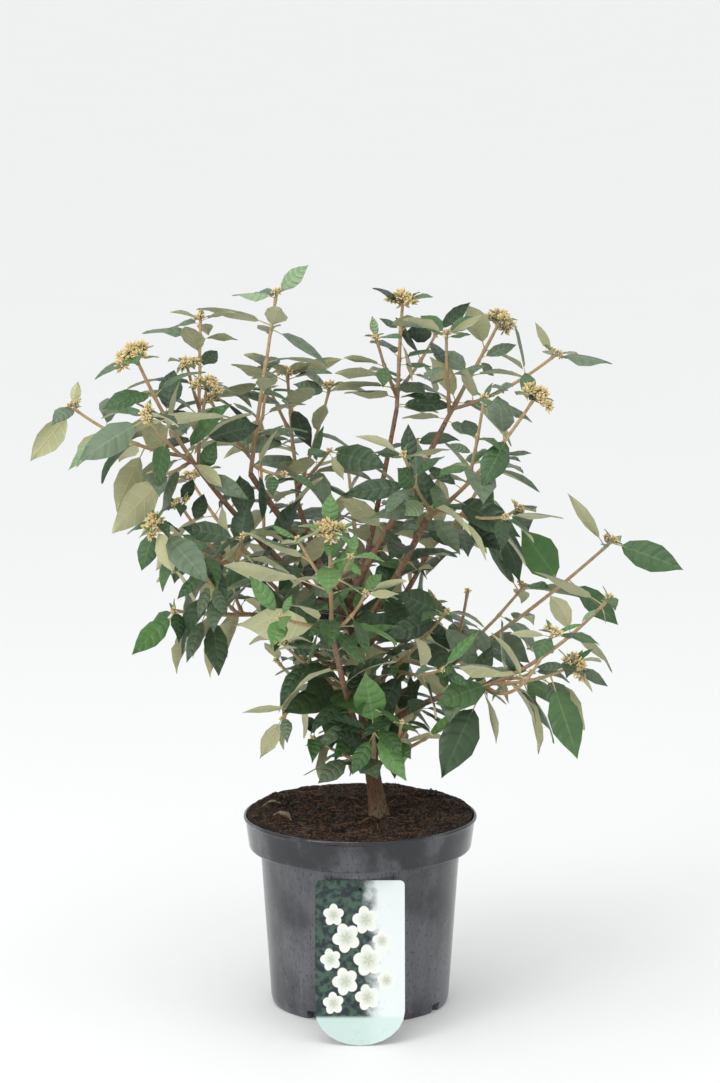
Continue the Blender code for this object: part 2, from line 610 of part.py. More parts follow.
def plan_shoots(mass, trunk, boughs):
    """The stem of a mass, from its bough's tip or out of the trunk, and then its side shoots."""
    limbs = []
    for shoot in mass.shoots:
        tip = np.array(shoot.tip) * CM
        if shoot.parent is not None:
            start = limbs[shoot.parent].point(shoot.share)
            limbs.append(Limb(start, tip, shoot.bow, SIDE_RADII))
        elif mass.carrier in boughs:
            heading = boughs[mass.carrier].tangent(1.0)
            start = boughs[mass.carrier].tip + GAP * heading
            limbs.append(Limb(start, tip, shoot.bow, STEM_RADII, foot=heading))
        else:
            start = start_on_trunk(trunk, mass.carrier, tip)
            limbs.append(Limb(start, tip, shoot.bow, STEM_RADII))
    return limbs


def placed_leaf(limb, place):
    """A leaf with its tip and face placed by hand, arched towards its upper face."""
    tip = np.array(place.tip) * CM
    middle = limb.point(place.share)
    root = middle + ROOT_STEP * unit(tip - middle)
    side = unit(np.cross(tip - root, place.face))
    rise = LEAF_ARCH * np.cross(side, tip - root)
    return Leaf(root, (root + tip) / 2 + rise, tip, place.face)


def paired_leaf(limb, shoot, share, turn, size, droop, noise):
    """A leaf that leaves its shoot outwards and a little forwards, and gives way to gravity."""
    along = limb.tangent(share)
    outward = math.cos(turn) * limb.across + math.sin(turn) * np.cross(along, limb.across)
    heading = unit(outward + (0.45 + 0.3 * noise[0]) * along)
    length = shoot.leaf * CM * size * (1 + 0.35 * noise[1])
    hang = max(0.05, droop * (1.25 - 0.5 * share) * (1 + 0.8 * noise[0]))
    root = limb.point(share) + ROOT_STEP * outward
    tip = root + length * unit(heading - hang * UP)
    bend = root + 0.5 * length * unit(heading + 0.1 * UP)
    roll = 1.3 * noise[2]
    face = math.cos(roll) * UP + math.sin(roll) * unit(np.cross(tip - root, UP))
    return Leaf(root, bend, tip, face)


def leaf_choices(limbs, mass, rng):
    """For each leaf of a mass, the positions to try for it, the best first."""
    for place in mass.leaves:
        yield [placed_leaf(limbs[place.shoot], place)]
    for limb, shoot in zip(limbs, mass.shoots):
        first = FIRST_PAIR if shoot.pairs > 1 else LAST_PAIR
        for pair, share in enumerate(np.linspace(LAST_PAIR, first, shoot.pairs)):
            for start in (0.0, math.pi):
                noise = rng.normal(0.0, JITTER, 4)
                turn = start + pair * math.pi / 2 + noise[3]
                size = PAIR_SIZES[min(pair, len(PAIR_SIZES) - 1)]
                yield [
                    paired_leaf(limb, shoot, share, turn + extra, size, mass.droop, noise)
                    for extra in LEAF_TRIES
                ]


def grow_leaves(trunk, boughs, plans, solids):
    """The leaves of every mass, each in the first of its positions that is clear of what stands."""
    wood = solids + [tree_of(trunk_mesh(trunk))] + [tree_of(bough_mesh(bough)) for bough in boughs.values()]
    taken = {name: [tree_of(shoot_mesh(limb)) for limb in limbs] for name, limbs in plans.items()}
    buds = {name: [tree_of(shape) for shape in bud_shapes(name, limbs)] for name, limbs in plans.items()}
    leaves = {name: [] for name in plans}
    for number, (name, limbs) in enumerate(plans.items()):
        rng = np.random.default_rng(SEED + number)
        others = wood + [tree for key in plans if key != name for tree in taken[key] + buds[key]]
        for choices in leaf_choices(limbs, FOLIAGE[name], rng):
            for leaf in choices:
                whole = leaf_mesh(leaf, swell=CLEAR)
                blade = leaf_mesh(leaf, swell=CLEAR, first=STALK_SHARE)
                if clear_of(whole, others) and clear_of(blade, taken[name]):
                    leaves[name].append(leaf)
                    taken[name].append(tree_of(leaf_mesh(leaf)))
                    break
    print(sum(len(grown) for grown in leaves.values()), "leaves")
    return leaves


def build_mass(name, limbs, leaves, trunk, material):
    """One solid: the stem, its side shoots, their bud heads and their leaves in one union."""
    shapes = [shoot_mesh(limb) for limb in limbs[1:]] + bud_shapes(name, limbs)
    shapes += [leaf_mesh(leaf) for leaf in leaves]
    stem = shape_object(name, shoot_mesh(limbs[0]), material)
    pieces = [shape_object("piece", shape, material) for shape in shapes]
    combine(stem, "UNION", pieces, solver="MANIFOLD")
    if FOLIAGE[name].carrier not in BOUGHS:
        cut_from_trunk(stem, trunk, material)


def surface_of(obj):
    """An object's surface, to test others against."""
    points = [vert.co for vert in obj.data.vertices]
    faces = [tuple(face.vertices) for face in obj.data.polygons]
    return tree_of((points, faces))


def main():
    for obj in list(bpy.data.objects):
        bpy.data.objects.remove(obj)
    materials = {name: new_material(name) for name in MATERIALS}
    pot = build_pot(materials["pot_plastic"])
    soil = build_soil(materials["peat"])
    tag = build_tag(materials["label_card"])
    trunk = Limb(TRUNK_FOOT, TRUNK_TOP, TRUNK_BOW, TRUNK_RADII, FLARE, foot=UP)
    shape_object("trunk", trunk_mesh(trunk), materials["bark"], smooth=True)
    boughs = plan_boughs(trunk)
    for name, bough in boughs.items():
        obj = shape_object(name, bough_mesh(bough), materials["young_bark"], smooth=True)
        cut_from_trunk(obj, trunk, materials["young_bark"])
    plans = {name: plan_shoots(mass, trunk, boughs) for name, mass in FOLIAGE.items()}
    leaves = grow_leaves(trunk, boughs, plans, [surface_of(obj) for obj in (pot, soil, tag)])
    for name, limbs in plans.items():
        build_mass(name, limbs, leaves[name], trunk, materials["foliage"])


main()
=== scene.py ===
# %% [markdown]
# # A young snowball viburnum in its nursery pot
#
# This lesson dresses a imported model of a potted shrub. The model gives plain solids at their real
# size. Each step looks at one piece of the real plant, says how it could be made, and then builds
# it: wood with bark, twigs, leaves with veins, winter bud heads, peat, and a scuffed pot.
# Lengths are in metres. The pot stands at z = 0, and the front of the plant faces -y.

# %% Load the model
import json
import math
from collections import namedtuple

import bmesh
import bpy
import numpy as np
from mathutils import Matrix, Vector
from mathutils.bvhtree import BVHTree

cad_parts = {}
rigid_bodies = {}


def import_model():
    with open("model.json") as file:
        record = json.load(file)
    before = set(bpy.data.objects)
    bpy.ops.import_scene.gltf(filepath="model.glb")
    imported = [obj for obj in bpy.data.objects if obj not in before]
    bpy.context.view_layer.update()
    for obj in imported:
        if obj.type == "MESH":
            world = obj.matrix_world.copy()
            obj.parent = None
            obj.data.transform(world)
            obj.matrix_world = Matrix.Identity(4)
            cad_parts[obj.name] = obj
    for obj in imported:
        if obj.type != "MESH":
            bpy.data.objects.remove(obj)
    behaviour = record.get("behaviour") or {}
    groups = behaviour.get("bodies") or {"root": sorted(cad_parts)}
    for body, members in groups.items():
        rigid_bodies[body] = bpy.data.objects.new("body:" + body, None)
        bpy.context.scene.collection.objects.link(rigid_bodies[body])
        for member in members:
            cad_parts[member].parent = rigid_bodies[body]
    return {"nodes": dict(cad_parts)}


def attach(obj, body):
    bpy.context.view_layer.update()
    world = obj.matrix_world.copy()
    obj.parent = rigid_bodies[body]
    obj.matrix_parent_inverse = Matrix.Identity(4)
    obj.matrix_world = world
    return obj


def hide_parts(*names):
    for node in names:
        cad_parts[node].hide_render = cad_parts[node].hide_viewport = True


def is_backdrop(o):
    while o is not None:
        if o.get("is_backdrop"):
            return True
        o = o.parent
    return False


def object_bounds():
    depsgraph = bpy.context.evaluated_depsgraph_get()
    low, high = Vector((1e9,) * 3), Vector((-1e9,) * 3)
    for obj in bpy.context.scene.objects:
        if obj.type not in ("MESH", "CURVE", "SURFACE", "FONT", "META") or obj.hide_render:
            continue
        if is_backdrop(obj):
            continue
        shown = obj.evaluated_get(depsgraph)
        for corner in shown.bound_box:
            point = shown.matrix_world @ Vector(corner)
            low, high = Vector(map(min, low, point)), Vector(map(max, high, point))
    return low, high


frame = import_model()
model_low, model_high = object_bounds()
CM, MM = 0.01, 0.001
UP = np.array([0.0, 0.0, 1.0])
print("The model holds", len(frame["nodes"]), "solids and is", round(model_high.z, 3), "m tall")

# %% [markdown]
# ## The camera, the floor and the light
#
# The photograph was taken from about five metres away with a long lens, a little above the plant
# and tilted down by ten degrees. A long lens keeps the near and far leaves at nearly one scale.
# The floor is so large that it fills the whole frame. The light is soft: a pale sky from all
# sides and two wide panels, one overhead and one at the front left, which give the leaves their
# broad sheen. The floor is also painted a little paler round the pot, which weakens the shadow
# there to about what the photograph shows.

# %% Camera
CAMERA_PLACE = (0.0, -4.79, 1.40)
CAMERA_TILT = math.radians(10.36)
LENS = 146.26  # millimetres, on a sensor of 36

camera = bpy.data.objects.new("camera", bpy.data.cameras.new("camera"))
camera.data.lens = LENS
camera.location = CAMERA_PLACE
camera.rotation_euler = (math.pi / 2 - CAMERA_TILT, 0.0, 0.0)
bpy.context.scene.collection.objects.link(camera)
bpy.context.scene.camera = camera
bpy.context.scene.view_settings.view_transform = "Standard"
print("The camera looks from", CAMERA_PLACE)

# %% Arrays of vectors
def unit(vectors):
    """Vectors divided by their own lengths, along the last axis."""
    return vectors / np.linalg.norm(vectors, axis=-1, keepdims=True)


def curve(start, bend, end, share):
    """Points on a quadratic curve: (1-s)^2 start + 2s(1-s) bend + s^2 end, for each share s."""
    s = np.asarray(share)[..., None]
    return (1 - s) ** 2 * start + 2 * s * (1 - s) * bend + s**2 * end


def noise(points, size, seed=0):
    """Smooth noise from -1 to 1: a random value at each corner of a cube lattice, blended between
    corners by 3t^2 - 2t^3. Size is the lattice's step in metres, in all or along x, y and z."""
    spots = np.asarray(points) / size
    low = np.floor(spots).astype(np.int64)
    part = spots - low
    part = part * part * (3 - 2 * part)
    total = 0.0
    for corner in np.ndindex(2, 2, 2):
        key = (low + corner) @ np.array([73856093, 19349663, 83492791]) + seed * 961748927
        key = (key ^ (key >> 13)) * 1274126177 & 0xFFFFFFFF
        value = (key ^ (key >> 16)) / 0x7FFFFFFF - 1.0
        total = total + value * np.prod(np.where(corner, part, 1 - part), axis=-1)
    return total


# %% Meshes from arrays
def grid_faces(index, closed=False):
    """Quads of a grid of point numbers. They face along (next column) x (next row)."""
    if closed:
        index = np.concatenate([index, index[..., :1]], axis=-1)
    corners = (index[..., :-1, :-1], index[..., :-1, 1:], index[..., 1:, 1:], index[..., 1:, :-1])
    return np.stack(corners, axis=-1).reshape(-1, 4)


def repeated(faces, count, points_each):
    """The faces of one shape, for a count of such shapes that follow each other."""
    steps = np.arange(count)[:, None, None] * points_each
    return (faces[None] + steps).reshape(-1, faces.shape[1])


def new_object(name, points, faces, finishes, slots=None, mark=None, crease=40.0):
    """An object made of points (n, 3) and of faces, given as arrays with one row a face.

    Slots are each face's material number, and mark is a vector that each point carries for the
    shader. Edges sharper than the crease, in degrees, stay sharp, and all others are shaded smooth.
    """
    corners = np.concatenate([group.ravel() for group in faces]).astype(np.int32)
    sizes = np.concatenate([np.full(len(group), group.shape[1]) for group in faces])
    mesh = bpy.data.meshes.new(name)
    mesh.vertices.add(len(points))
    mesh.loops.add(len(corners))
    mesh.polygons.add(len(sizes))
    mesh.vertices.foreach_set("co", np.asarray(points, np.float32).ravel())
    mesh.loops.foreach_set("vertex_index", corners)
    mesh.polygons.foreach_set("loop_start", (np.cumsum(sizes) - sizes).astype(np.int32))
    for finish in finishes:
        mesh.materials.append(finish)
    if slots is not None:
        mesh.polygons.foreach_set("material_index", np.asarray(slots, np.int32))
    if mark is not None:
        mesh.attributes.new("mark", "FLOAT_VECTOR", "POINT")
        mesh.attributes["mark"].data.foreach_set("vector", np.asarray(mark, np.float32).ravel())
    mesh.update(calc_edges=True)
    mesh.shade_smooth()
    mesh.set_sharp_from_angle(angle=math.radians(crease))
    made = bpy.data.objects.new(name, mesh)
    bpy.context.scene.collection.objects.link(made)
    return made


def settle(piece, nodes=()):
    """Lets a piece ride on the plant's one body, and hides what it stands for."""
    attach(piece, "root")
    if nodes:
        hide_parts(*nodes)
    print(piece.name, "has", len(piece.data.polygons), "faces and stands for", len(nodes), "solids")


# %% Shader maths
class Value:
    """A socket that can be reckoned with: each operator adds the Math node of its own name."""

    def __init__(self, finish, socket):
        self.finish = finish
        self.socket = socket

    def reckon(self, operation, *values):
        return self.finish.node("ShaderNodeMath", {"operation": operation}, dict(enumerate(values)))

    def __add__(self, other):
        return self.reckon("ADD", self, other)

    def __radd__(self, other):
        return self.reckon("ADD", other, self)

    def __sub__(self, other):
        return self.reckon("SUBTRACT", self, other)

    def __rsub__(self, other):
        return self.reckon("SUBTRACT", other, self)

    def __mul__(self, other):
        return self.reckon("MULTIPLY", self, other)

    def __rmul__(self, other):
        return self.reckon("MULTIPLY", other, self)

    def __truediv__(self, other):
        return self.reckon("DIVIDE", self, other)

    def __pow__(self, other):
        return self.reckon("POWER", self, other)

    def __abs__(self):
        return self.reckon("ABSOLUTE", self)

    def fraction(self):
        return self.reckon("FRACT", self)

    def between(self, low, high):
        """0 below low and 1 above high, with a smooth step between them, or the other way round."""
        sockets = {"Value": self, "From Min": low, "From Max": high}
        return self.finish.node("ShaderNodeMapRange", {"interpolation_type": "SMOOTHSTEP"}, sockets)


class Shading:
    """A shader tree that is built up node by node."""

    def __init__(self, tree):
        self.tree = tree

    def node(self, kind, settings, sockets, output=0):
        """Adds a node: its settings first, then a number, a colour or a link for each socket."""
        made = self.tree.nodes.new(kind)
        for key, value in settings.items():
            setattr(made, key, value)
        for key, value in sockets.items():
            if isinstance(value, Value):
                self.tree.links.new(value.socket, made.inputs[key])
            else:
                made.inputs[key].default_value = value
        return Value(self, made.outputs[output])

    def spot(self, kind="Object"):
        return self.node("ShaderNodeTexCoord", {}, {}, kind)

    def part(self, vector, axis):
        return self.node("ShaderNodeSeparateXYZ", {}, {"Vector": vector}, axis)


class Finish(Shading):
    """A Principled material."""

    def __init__(self, name, **plain):
        self.material = bpy.data.materials.new(name)
        self.material.use_nodes = True
        super().__init__(self.material.node_tree)
        self.shader = self.tree.nodes["Principled BSDF"]
        for key, value in plain.items():
            self.shader.inputs[key.replace("_", " ")].default_value = value

    def place(self, stretch=(1.0, 1.0, 1.0)):
        """Object coordinates, stretched along the axes."""
        return self.node("ShaderNodeMapping", {}, {"Vector": self.spot(), "Scale": stretch})

    def mark(self, axis):
        """One part of the vector that each point of the mesh carries."""
        return self.part(self.node("ShaderNodeAttribute", {"attribute_name": "mark"}, {}, "Vector"), axis)

    def grain(self, scale, stretch=(1.0, 1.0, 1.0), detail=3.0, rough=0.55):
        """Noise from 0 to 1, with the given number of grains to a metre."""
        sockets = {"Vector": self.place(stretch), "Scale": scale, "Detail": detail, "Roughness": rough}
        return self.node("ShaderNodeTexNoise", {}, sockets)

    def mix(self, share, first, second):
        """A colour that goes from the first to the second."""
        pair = [(*c, 1.0) if isinstance(c, tuple) else c for c in (first, second)]
        return self.node("ShaderNodeMix", {"data_type": "RGBA"}, {0: share, 6: pair[0], 7: pair[1]}, 2)

    def bump(self, height, depth, before=None):
        """A normal for relief of this height, whose full depth is in metres."""
        sockets = {"Height": height, "Distance": depth, "Strength": 1.0}
        if before is not None:
            sockets["Normal"] = before
        return self.node("ShaderNodeBump", {}, sockets)

    def finish(self, **links):
        for key, value in links.items():
            self.tree.links.new(value.socket, self.shader.inputs[key.replace("_", " ")])
        return self.material


print("A material is built from expressions on", Value.__name__, "objects")

# %% Floor and light
FLOOR_RADIUS = 60.0
HORIZON, ZENITH = 0.72, 1.45  # how bright the sky is all round, and straight overhead


def build_floor():
    paint = Finish("pale_floor", Roughness=0.7)
    tone = paint.grain(3.0, detail=1.0)
    x, y = (paint.part(paint.spot(), axis) for axis in "XY")
    away = ((x**2 + y**2) ** 0.5).between(12 * CM, 46 * CM)
    colour = paint.mix(tone, (0.804, 0.812, 0.808), (0.816, 0.824, 0.820))
    colour = paint.mix(away, (0.860, 0.866, 0.864), colour)
    turns = np.linspace(0.0, 2 * math.pi, 64, endpoint=False)
    points = np.stack([FLOOR_RADIUS * np.cos(turns), FLOOR_RADIUS * np.sin(turns), 0 * turns], axis=-1)
    made = new_object("floor", points, [np.arange(64)[None]], [paint.finish(Base_Color=colour)])
    made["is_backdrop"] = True


def soft_panel(name, place, aim, size, watts):
    """A square area light that looks from its place to its aim."""
    light = bpy.data.lights.new(name, "AREA")
    light.shape = "SQUARE"
    light.size = size
    light.energy = watts
    panel = bpy.data.objects.new(name, light)
    panel.location = place
    panel.rotation_euler = (Vector(aim) - Vector(place)).to_track_quat("-Z", "Y").to_euler()
    bpy.context.scene.collection.objects.link(panel)


def build_sky():
    """A pale sky that grows brighter towards its top, by the square of the height."""
    world = bpy.data.worlds.new("sky")
    world.use_nodes = True
    shine = world.node_tree.nodes["Background"].inputs
    shine["Color"].default_value = (0.985, 0.992, 1.0, 1.0)
    sky = Shading(world.node_tree)
    up = sky.part(sky.spot("Generated"), "Z")
    sky.tree.links.new((HORIZON + (ZENITH - HORIZON) * up**2).socket, shine["Strength"])
    bpy.context.scene.world = world


build_floor()
build_sky()
soft_panel("top_panel", (-0.5, -0.9, 2.4), (0.0, 0.0, 0.5), 1.4, 12.0)
soft_panel("left_panel", (-2.2, -2.6, 1.6), (0.0, 0.0, 0.45), 1.4, 36.0)
print("The sky goes from", HORIZON, "to", ZENITH)

# %% [markdown]
# ## The pot
#
# The real pot is blown or moulded in thin black plastic: a tapered wall, a ledge, a deep rim band
# and a small rolled lip, with four drainage notches at its foot. It is a round thing, so its wall
# is a profile turned about the z axis. The profile's corners are rounded first, because light
# catches a rounded corner and gives it the thin bright line that shows what it is made of.
# A soft pot is never quite round, so the wall gives way by a millimetre or two near its rim.

# %% Pot shape
POT_HEIGHT = 21.5 * CM
RIM_RADIUS = 13.0 * CM
LEDGE = POT_HEIGHT - 3.7 * CM
POT_WALL = 2.0 * MM
POT_TURNS = 288
NOTCHES = 4
NOTCH_TURN = math.radians(58.0)
NOTCH_WIDTH = math.radians(8.0)
NOTCH_HEIGHT = 0.9 * CM
NOTCH_DEPTH = 0.9 * CM
DENT_TURN = math.radians(50.0)
OUTSIDE = [  # radius and height in cm, and the rounding of each corner
    (0.0, 0.3, 0), (8.6, 0.3, 0.1), (8.8, 0.0, 0.1), (9.75, 0.0, 0.15), (9.98, 0.7, 0.3), (11.1, 17.3, 0.2),
    (11.18, 17.72, 0.08), (12.28, 17.78, 0.15), (12.42, 18.0, 0.1), (12.8, 20.95, 0.08), (12.98, 21.05, 0.06),
    (13.05, 21.3, 0.1), (12.9, 21.5, 0.08), (12.7, 21.42, 0.08),
]
INSIDE = [(12.55, 20.9, 0.1), (12.2, 18.1, 0.1), (11.0, 17.9, 0.1), (9.7, 0.9, 0.3), (0.0, 0.6, 0)]


def rounded(profile, steps=4):
    """A profile whose corners are replaced by short quadratic curves, each as wide as it says."""
    spots = np.array([row[:2] for row in profile])
    made = [spots[:1]]
    for before, spot, after, (_, _, size) in zip(spots, spots[1:], spots[2:], profile[1:]):
        reach = min(size, 0.45 * min(np.linalg.norm(spot - before), np.linalg.norm(after - spot)))
        start, end = spot + reach * unit(before - spot), spot + reach * unit(after - spot)
        made.append(curve(start, spot, end, np.linspace(0.0, 1.0, steps)))
    return np.concatenate([*made, spots[-1:]])


def with_stops(profile, step):
    """A profile with extra points, so that no stretch of it is longer than the step."""
    lengths = np.linalg.norm(np.diff(profile, axis=0), axis=-1)
    counts = np.ceil(lengths / step).astype(int)
    pieces = [a + (b - a) * np.linspace(0, 1, n, endpoint=False)[:, None]
              for a, b, n in zip(profile, profile[1:], counts)]
    return np.concatenate([*pieces, profile[-1:]])


def turned_points(profile, turns):
    """A profile turned about z: x = r sin(turn), y = -r cos(turn), with turn 0 at the front."""
    radius, height = profile[:, :1], profile[:, 1:]
    turn = np.linspace(0.0, 2 * math.pi, turns, endpoint=False)
    flat = 0 * turn
    return np.stack([radius * np.sin(turn), -radius * np.cos(turn), height + flat], axis=-1)


def turned_faces(rows, turns):
    """Quads of the turned wall, and a fan of triangles round the pole point at each end."""
    index = np.arange(rows * turns).reshape(rows, turns)
    first, last = index[0], index[-1]
    low = np.stack([np.full(turns, rows * turns), np.roll(first, -1), first], axis=-1)
    high = np.stack([last, np.roll(last, -1), np.full(turns, rows * turns + 1)], axis=-1)
    return [grid_faces(index, closed=True), np.concatenate([low, high])]


def pot_points():
    profile = with_stops(rounded(OUTSIDE + INSIDE), 0.9) * CM
    ends = np.array([[0.0, 0.0, profile[0, 1]], [0.0, 0.0, profile[-1, 1]]])
    wall = turned_points(profile[1:-1], POT_TURNS)
    turn = np.arctan2(wall[..., 0], -wall[..., 1])
    radius = np.hypot(wall[..., 0], wall[..., 1])
    height = wall[..., 2]
    outer = np.arange(len(wall))[:, None] < np.argmax(profile[1:-1, 1])
    off = (turn - NOTCH_TURN + math.pi / NOTCHES) % (2 * math.pi / NOTCHES) - math.pi / NOTCHES
    cut = (np.abs(off) < NOTCH_WIDTH / 2) & (height < NOTCH_HEIGHT) & outer
    radius = np.where(cut, np.minimum(radius, 9.95 * CM - NOTCH_DEPTH), radius)
    give = (height / POT_HEIGHT) ** 3
    dent = 0.011 * np.exp(-(((turn - DENT_TURN) / 0.30) ** 2))
    radius = radius * (1 + give * (0.004 * np.cos(2 * turn - 2.2) + 0.003 * np.cos(3 * turn + 0.6) - dent))
    points = np.stack([radius * np.sin(turn), -radius * np.cos(turn), height], axis=-1)
    return np.concatenate([points.reshape(-1, 3), ends]), len(wall)


# %% [markdown]
# ## Worn black plastic
#
# Black plastic outdoors is never one flat black. Rain and peat dry on it as a thin pale film with
# dark flecks where drops have washed it clean, long faint streaks run down the wall, and the mould
# left a fine grain. The pale film's grey, on the wall and in cloudy patches on the rim band, is dried
# dust and painted sheen at once. The film is matt, so it changes both the colour and the roughness.
# All of it is noise on the object's own coordinates, stretched along z for what runs down.

# %% Pot finish
def pot_finish():
    plastic = Finish("pot_plastic", Specular_IOR_Level=0.6)
    band = plastic.part(plastic.spot(), "Z").between(17.6 * CM, 18.1 * CM)
    cloud = plastic.grain(13.0, (1.0, 1.0, 0.8), detail=5.0)
    # The pale film: dried dust, and also painted sheen on the wall and in the rim band's cloudy patches.
    film_and_sheen = (1 - band) * cloud.between(0.28, 0.62) + 0.7 * band * cloud.between(0.44, 0.60)
    flecks = plastic.grain(360.0, (1.0, 1.0, 0.45), detail=2.0).between(0.58, 0.66)
    streaks = plastic.grain(60.0, (1.0, 1.0, 0.10), detail=5.0).between(0.30, 0.70)
    dirt = plastic.grain(330.0, detail=2.0).between(0.70, 0.76)
    dust_and_sheen = film_and_sheen * (1 - 0.60 * flecks) * (0.62 + 0.38 * streaks)
    # The film's grey colour is dust and painted sheen at once; the dark flecks are clean spots.
    colour = plastic.mix(dust_and_sheen, (0.009, 0.010, 0.013), (0.118, 0.124, 0.138))
    colour = plastic.mix(0.5 * dirt, colour, (0.12, 0.095, 0.075))
    rough = 0.13 + 0.22 * dust_and_sheen + 0.25 * dirt
    relief = plastic.bump(plastic.grain(900.0, detail=2.0), 0.00005)
    relief = plastic.bump(plastic.grain(14.0, (1.0, 1.0, 0.35), detail=1.0), 0.0030, relief)
    return plastic.finish(Base_Color=colour, Roughness=rough, Normal=relief)


points, rows = pot_points()
pot = new_object("nursery_pot", points, turned_faces(rows, POT_TURNS), [pot_finish()], crease=35.0)
settle(pot, ["pot"])

# %% [markdown]
# ## The peat
#
# Potting peat is a heap of crumbs and fibres, and its skyline at the back of the rim shows it. The
# surface is a polar grid lifted by noise of several sizes. Fibres and crumbs lie on it as separate
# small tubes, because bump alone would leave the edge against the light too smooth.

# %% Tubes
def tube_points(paths, radii, across, sides):
    """Rings round each path: path + r (cos(turn) side + sin(turn) other), in the plane that the
    path crosses squarely. Paths are (tubes, rings, 3), radii (tubes, rings) or (tubes, rings, sides)
    and across one direction for each tube. Each tube ends in a pole point at both its ends."""
    along = unit(np.gradient(paths, axis=1))
    across = across[:, None]
    side = unit(across - along * np.sum(across * along, axis=-1, keepdims=True))
    other = np.cross(along, side)
    turn = np.arange(sides) * 2 * math.pi / sides
    outward = np.cos(turn)[:, None] * side[:, :, None] + np.sin(turn)[:, None] * other[:, :, None]
    radii = radii if radii.ndim == 3 else radii[..., None]
    rings = paths[:, :, None] + radii[..., None] * outward
    rings = rings.reshape(len(paths), -1, 3)
    return np.concatenate([rings, paths[:, :1], paths[:, -1:]], axis=1)


def tube_faces(rings, sides, count):
    """The faces of a count of closed tubes."""
    return [repeated(faces, count, rings * sides + 2) for faces in turned_faces(rings, sides)]


def sideways(vectors):
    """A level direction across each vector."""
    level = np.cross(vectors + np.array([1e-6, 0.0, 0.0]), UP)
    return unit(level)


# %% Peat surface
SOIL_RADIUS = 12.62 * CM
SOIL_RINGS, SOIL_TURNS = 130, 420
SOIL_LEVEL = 20.85 * CM
SOIL_SWELL = 0.75 * CM
TRUNK_FOOT = np.array([2.2, 0.0, 20.73]) * CM


def soil_height(x, y):
    """Height of the peat: a level, a swell that is heaped against the rim, and lumps of four sizes."""
    spots = np.stack([x, y, 0 * x], axis=-1)
    out = np.hypot(x, y) / SOIL_RADIUS
    back = 0.5 + 0.5 * y / SOIL_RADIUS
    swell = SOIL_SWELL * (0.45 + 1.15 * back) * np.sin(math.pi * 0.62 * np.clip(out, 0.0, 1.0) ** 2.0)
    lumps = 3.4 * noise(spots, 3.1 * CM, 3) + 2.6 * noise(spots, 1.1 * CM, 4)
    crumbs = 1.9 * noise(spots, 0.45 * CM, 5) + 0.8 * np.abs(noise(spots, 0.22 * CM, 6))
    edge = 1 - 0.75 * np.clip((out - 0.9) / 0.1, 0.0, 1.0)
    return SOIL_LEVEL + swell + (lumps + crumbs) * MM * edge


def soil_points():
    """A polar grid over the pot's mouth, with a skirt that goes down inside the wall."""
    share = np.linspace(0.004, 1.0, SOIL_RINGS) ** 0.8
    turn = np.linspace(0.0, 2 * math.pi, SOIL_TURNS, endpoint=False)
    radius = share[:, None] * SOIL_RADIUS
    x, y = radius * np.sin(turn), -radius * np.cos(turn)
    top = np.stack([x, y, soil_height(x, y)], axis=-1)
    skirt = top[-1:] * [0.97, 0.97, 1.0] - [0.0, 0.0, 3.0 * CM]
    rows = np.concatenate([skirt, top[::-1]])
    ends = np.array([[0, 0, SOIL_LEVEL - 3.0 * CM], [0, 0, soil_height(np.zeros(1), np.zeros(1))[0]]])
    return np.concatenate([rows.reshape(-1, 3), ends]), len(rows)


def peat_finish():
    """Moist peat: nearly black in its hollows, brown where it has dried, with rusty fibres."""
    peat = Finish("peat", Specular_IOR_Level=0.25)
    patches = peat.grain(38.0, detail=5.0, rough=0.65).between(0.34, 0.66)
    crumbs = peat.grain(420.0, detail=4.0, rough=0.7)
    rust = peat.grain(260.0, (1.0, 0.5, 1.0), detail=3.0).between(0.60, 0.72)
    colour = peat.mix(patches, (0.0050, 0.0028, 0.0018), (0.040, 0.024, 0.016))
    colour = peat.mix(crumbs.between(0.52, 0.68) * (0.3 + 0.7 * patches), colour, (0.190, 0.125, 0.090))
    colour = peat.mix(0.7 * rust, colour, (0.15, 0.055, 0.022))
    relief = peat.bump(crumbs, 0.0040)
    return peat.finish(Base_Color=colour, Roughness=0.75 + 0.25 * patches, Normal=relief)


points, rows = soil_points()
soil = new_object("peat_surface", points, turned_faces(rows, SOIL_TURNS), [peat_finish()], crease=180.0)
settle(soil, ["soil"])

# %% Fibres and crumbs
FIBRES, FIBRE_RINGS, FIBRE_SIDES = 620, 7, 4
CRUMBS, CRUMB_RINGS, CRUMB_SIDES = 2600, 4, 5
ROOT_RINGS, ROOT_SIDES = 24, 6


def scattered(rng, count, reach=0.97):
    """Spots spread evenly over the peat, on its surface."""
    radius = reach * SOIL_RADIUS * np.sqrt(rng.uniform(0.0, 1.0, count))
    turn = rng.uniform(0.0, 2 * math.pi, count)
    x, y = radius * np.sin(turn), -radius * np.cos(turn)
    return np.stack([x, y, soil_height(x, y)], axis=-1)


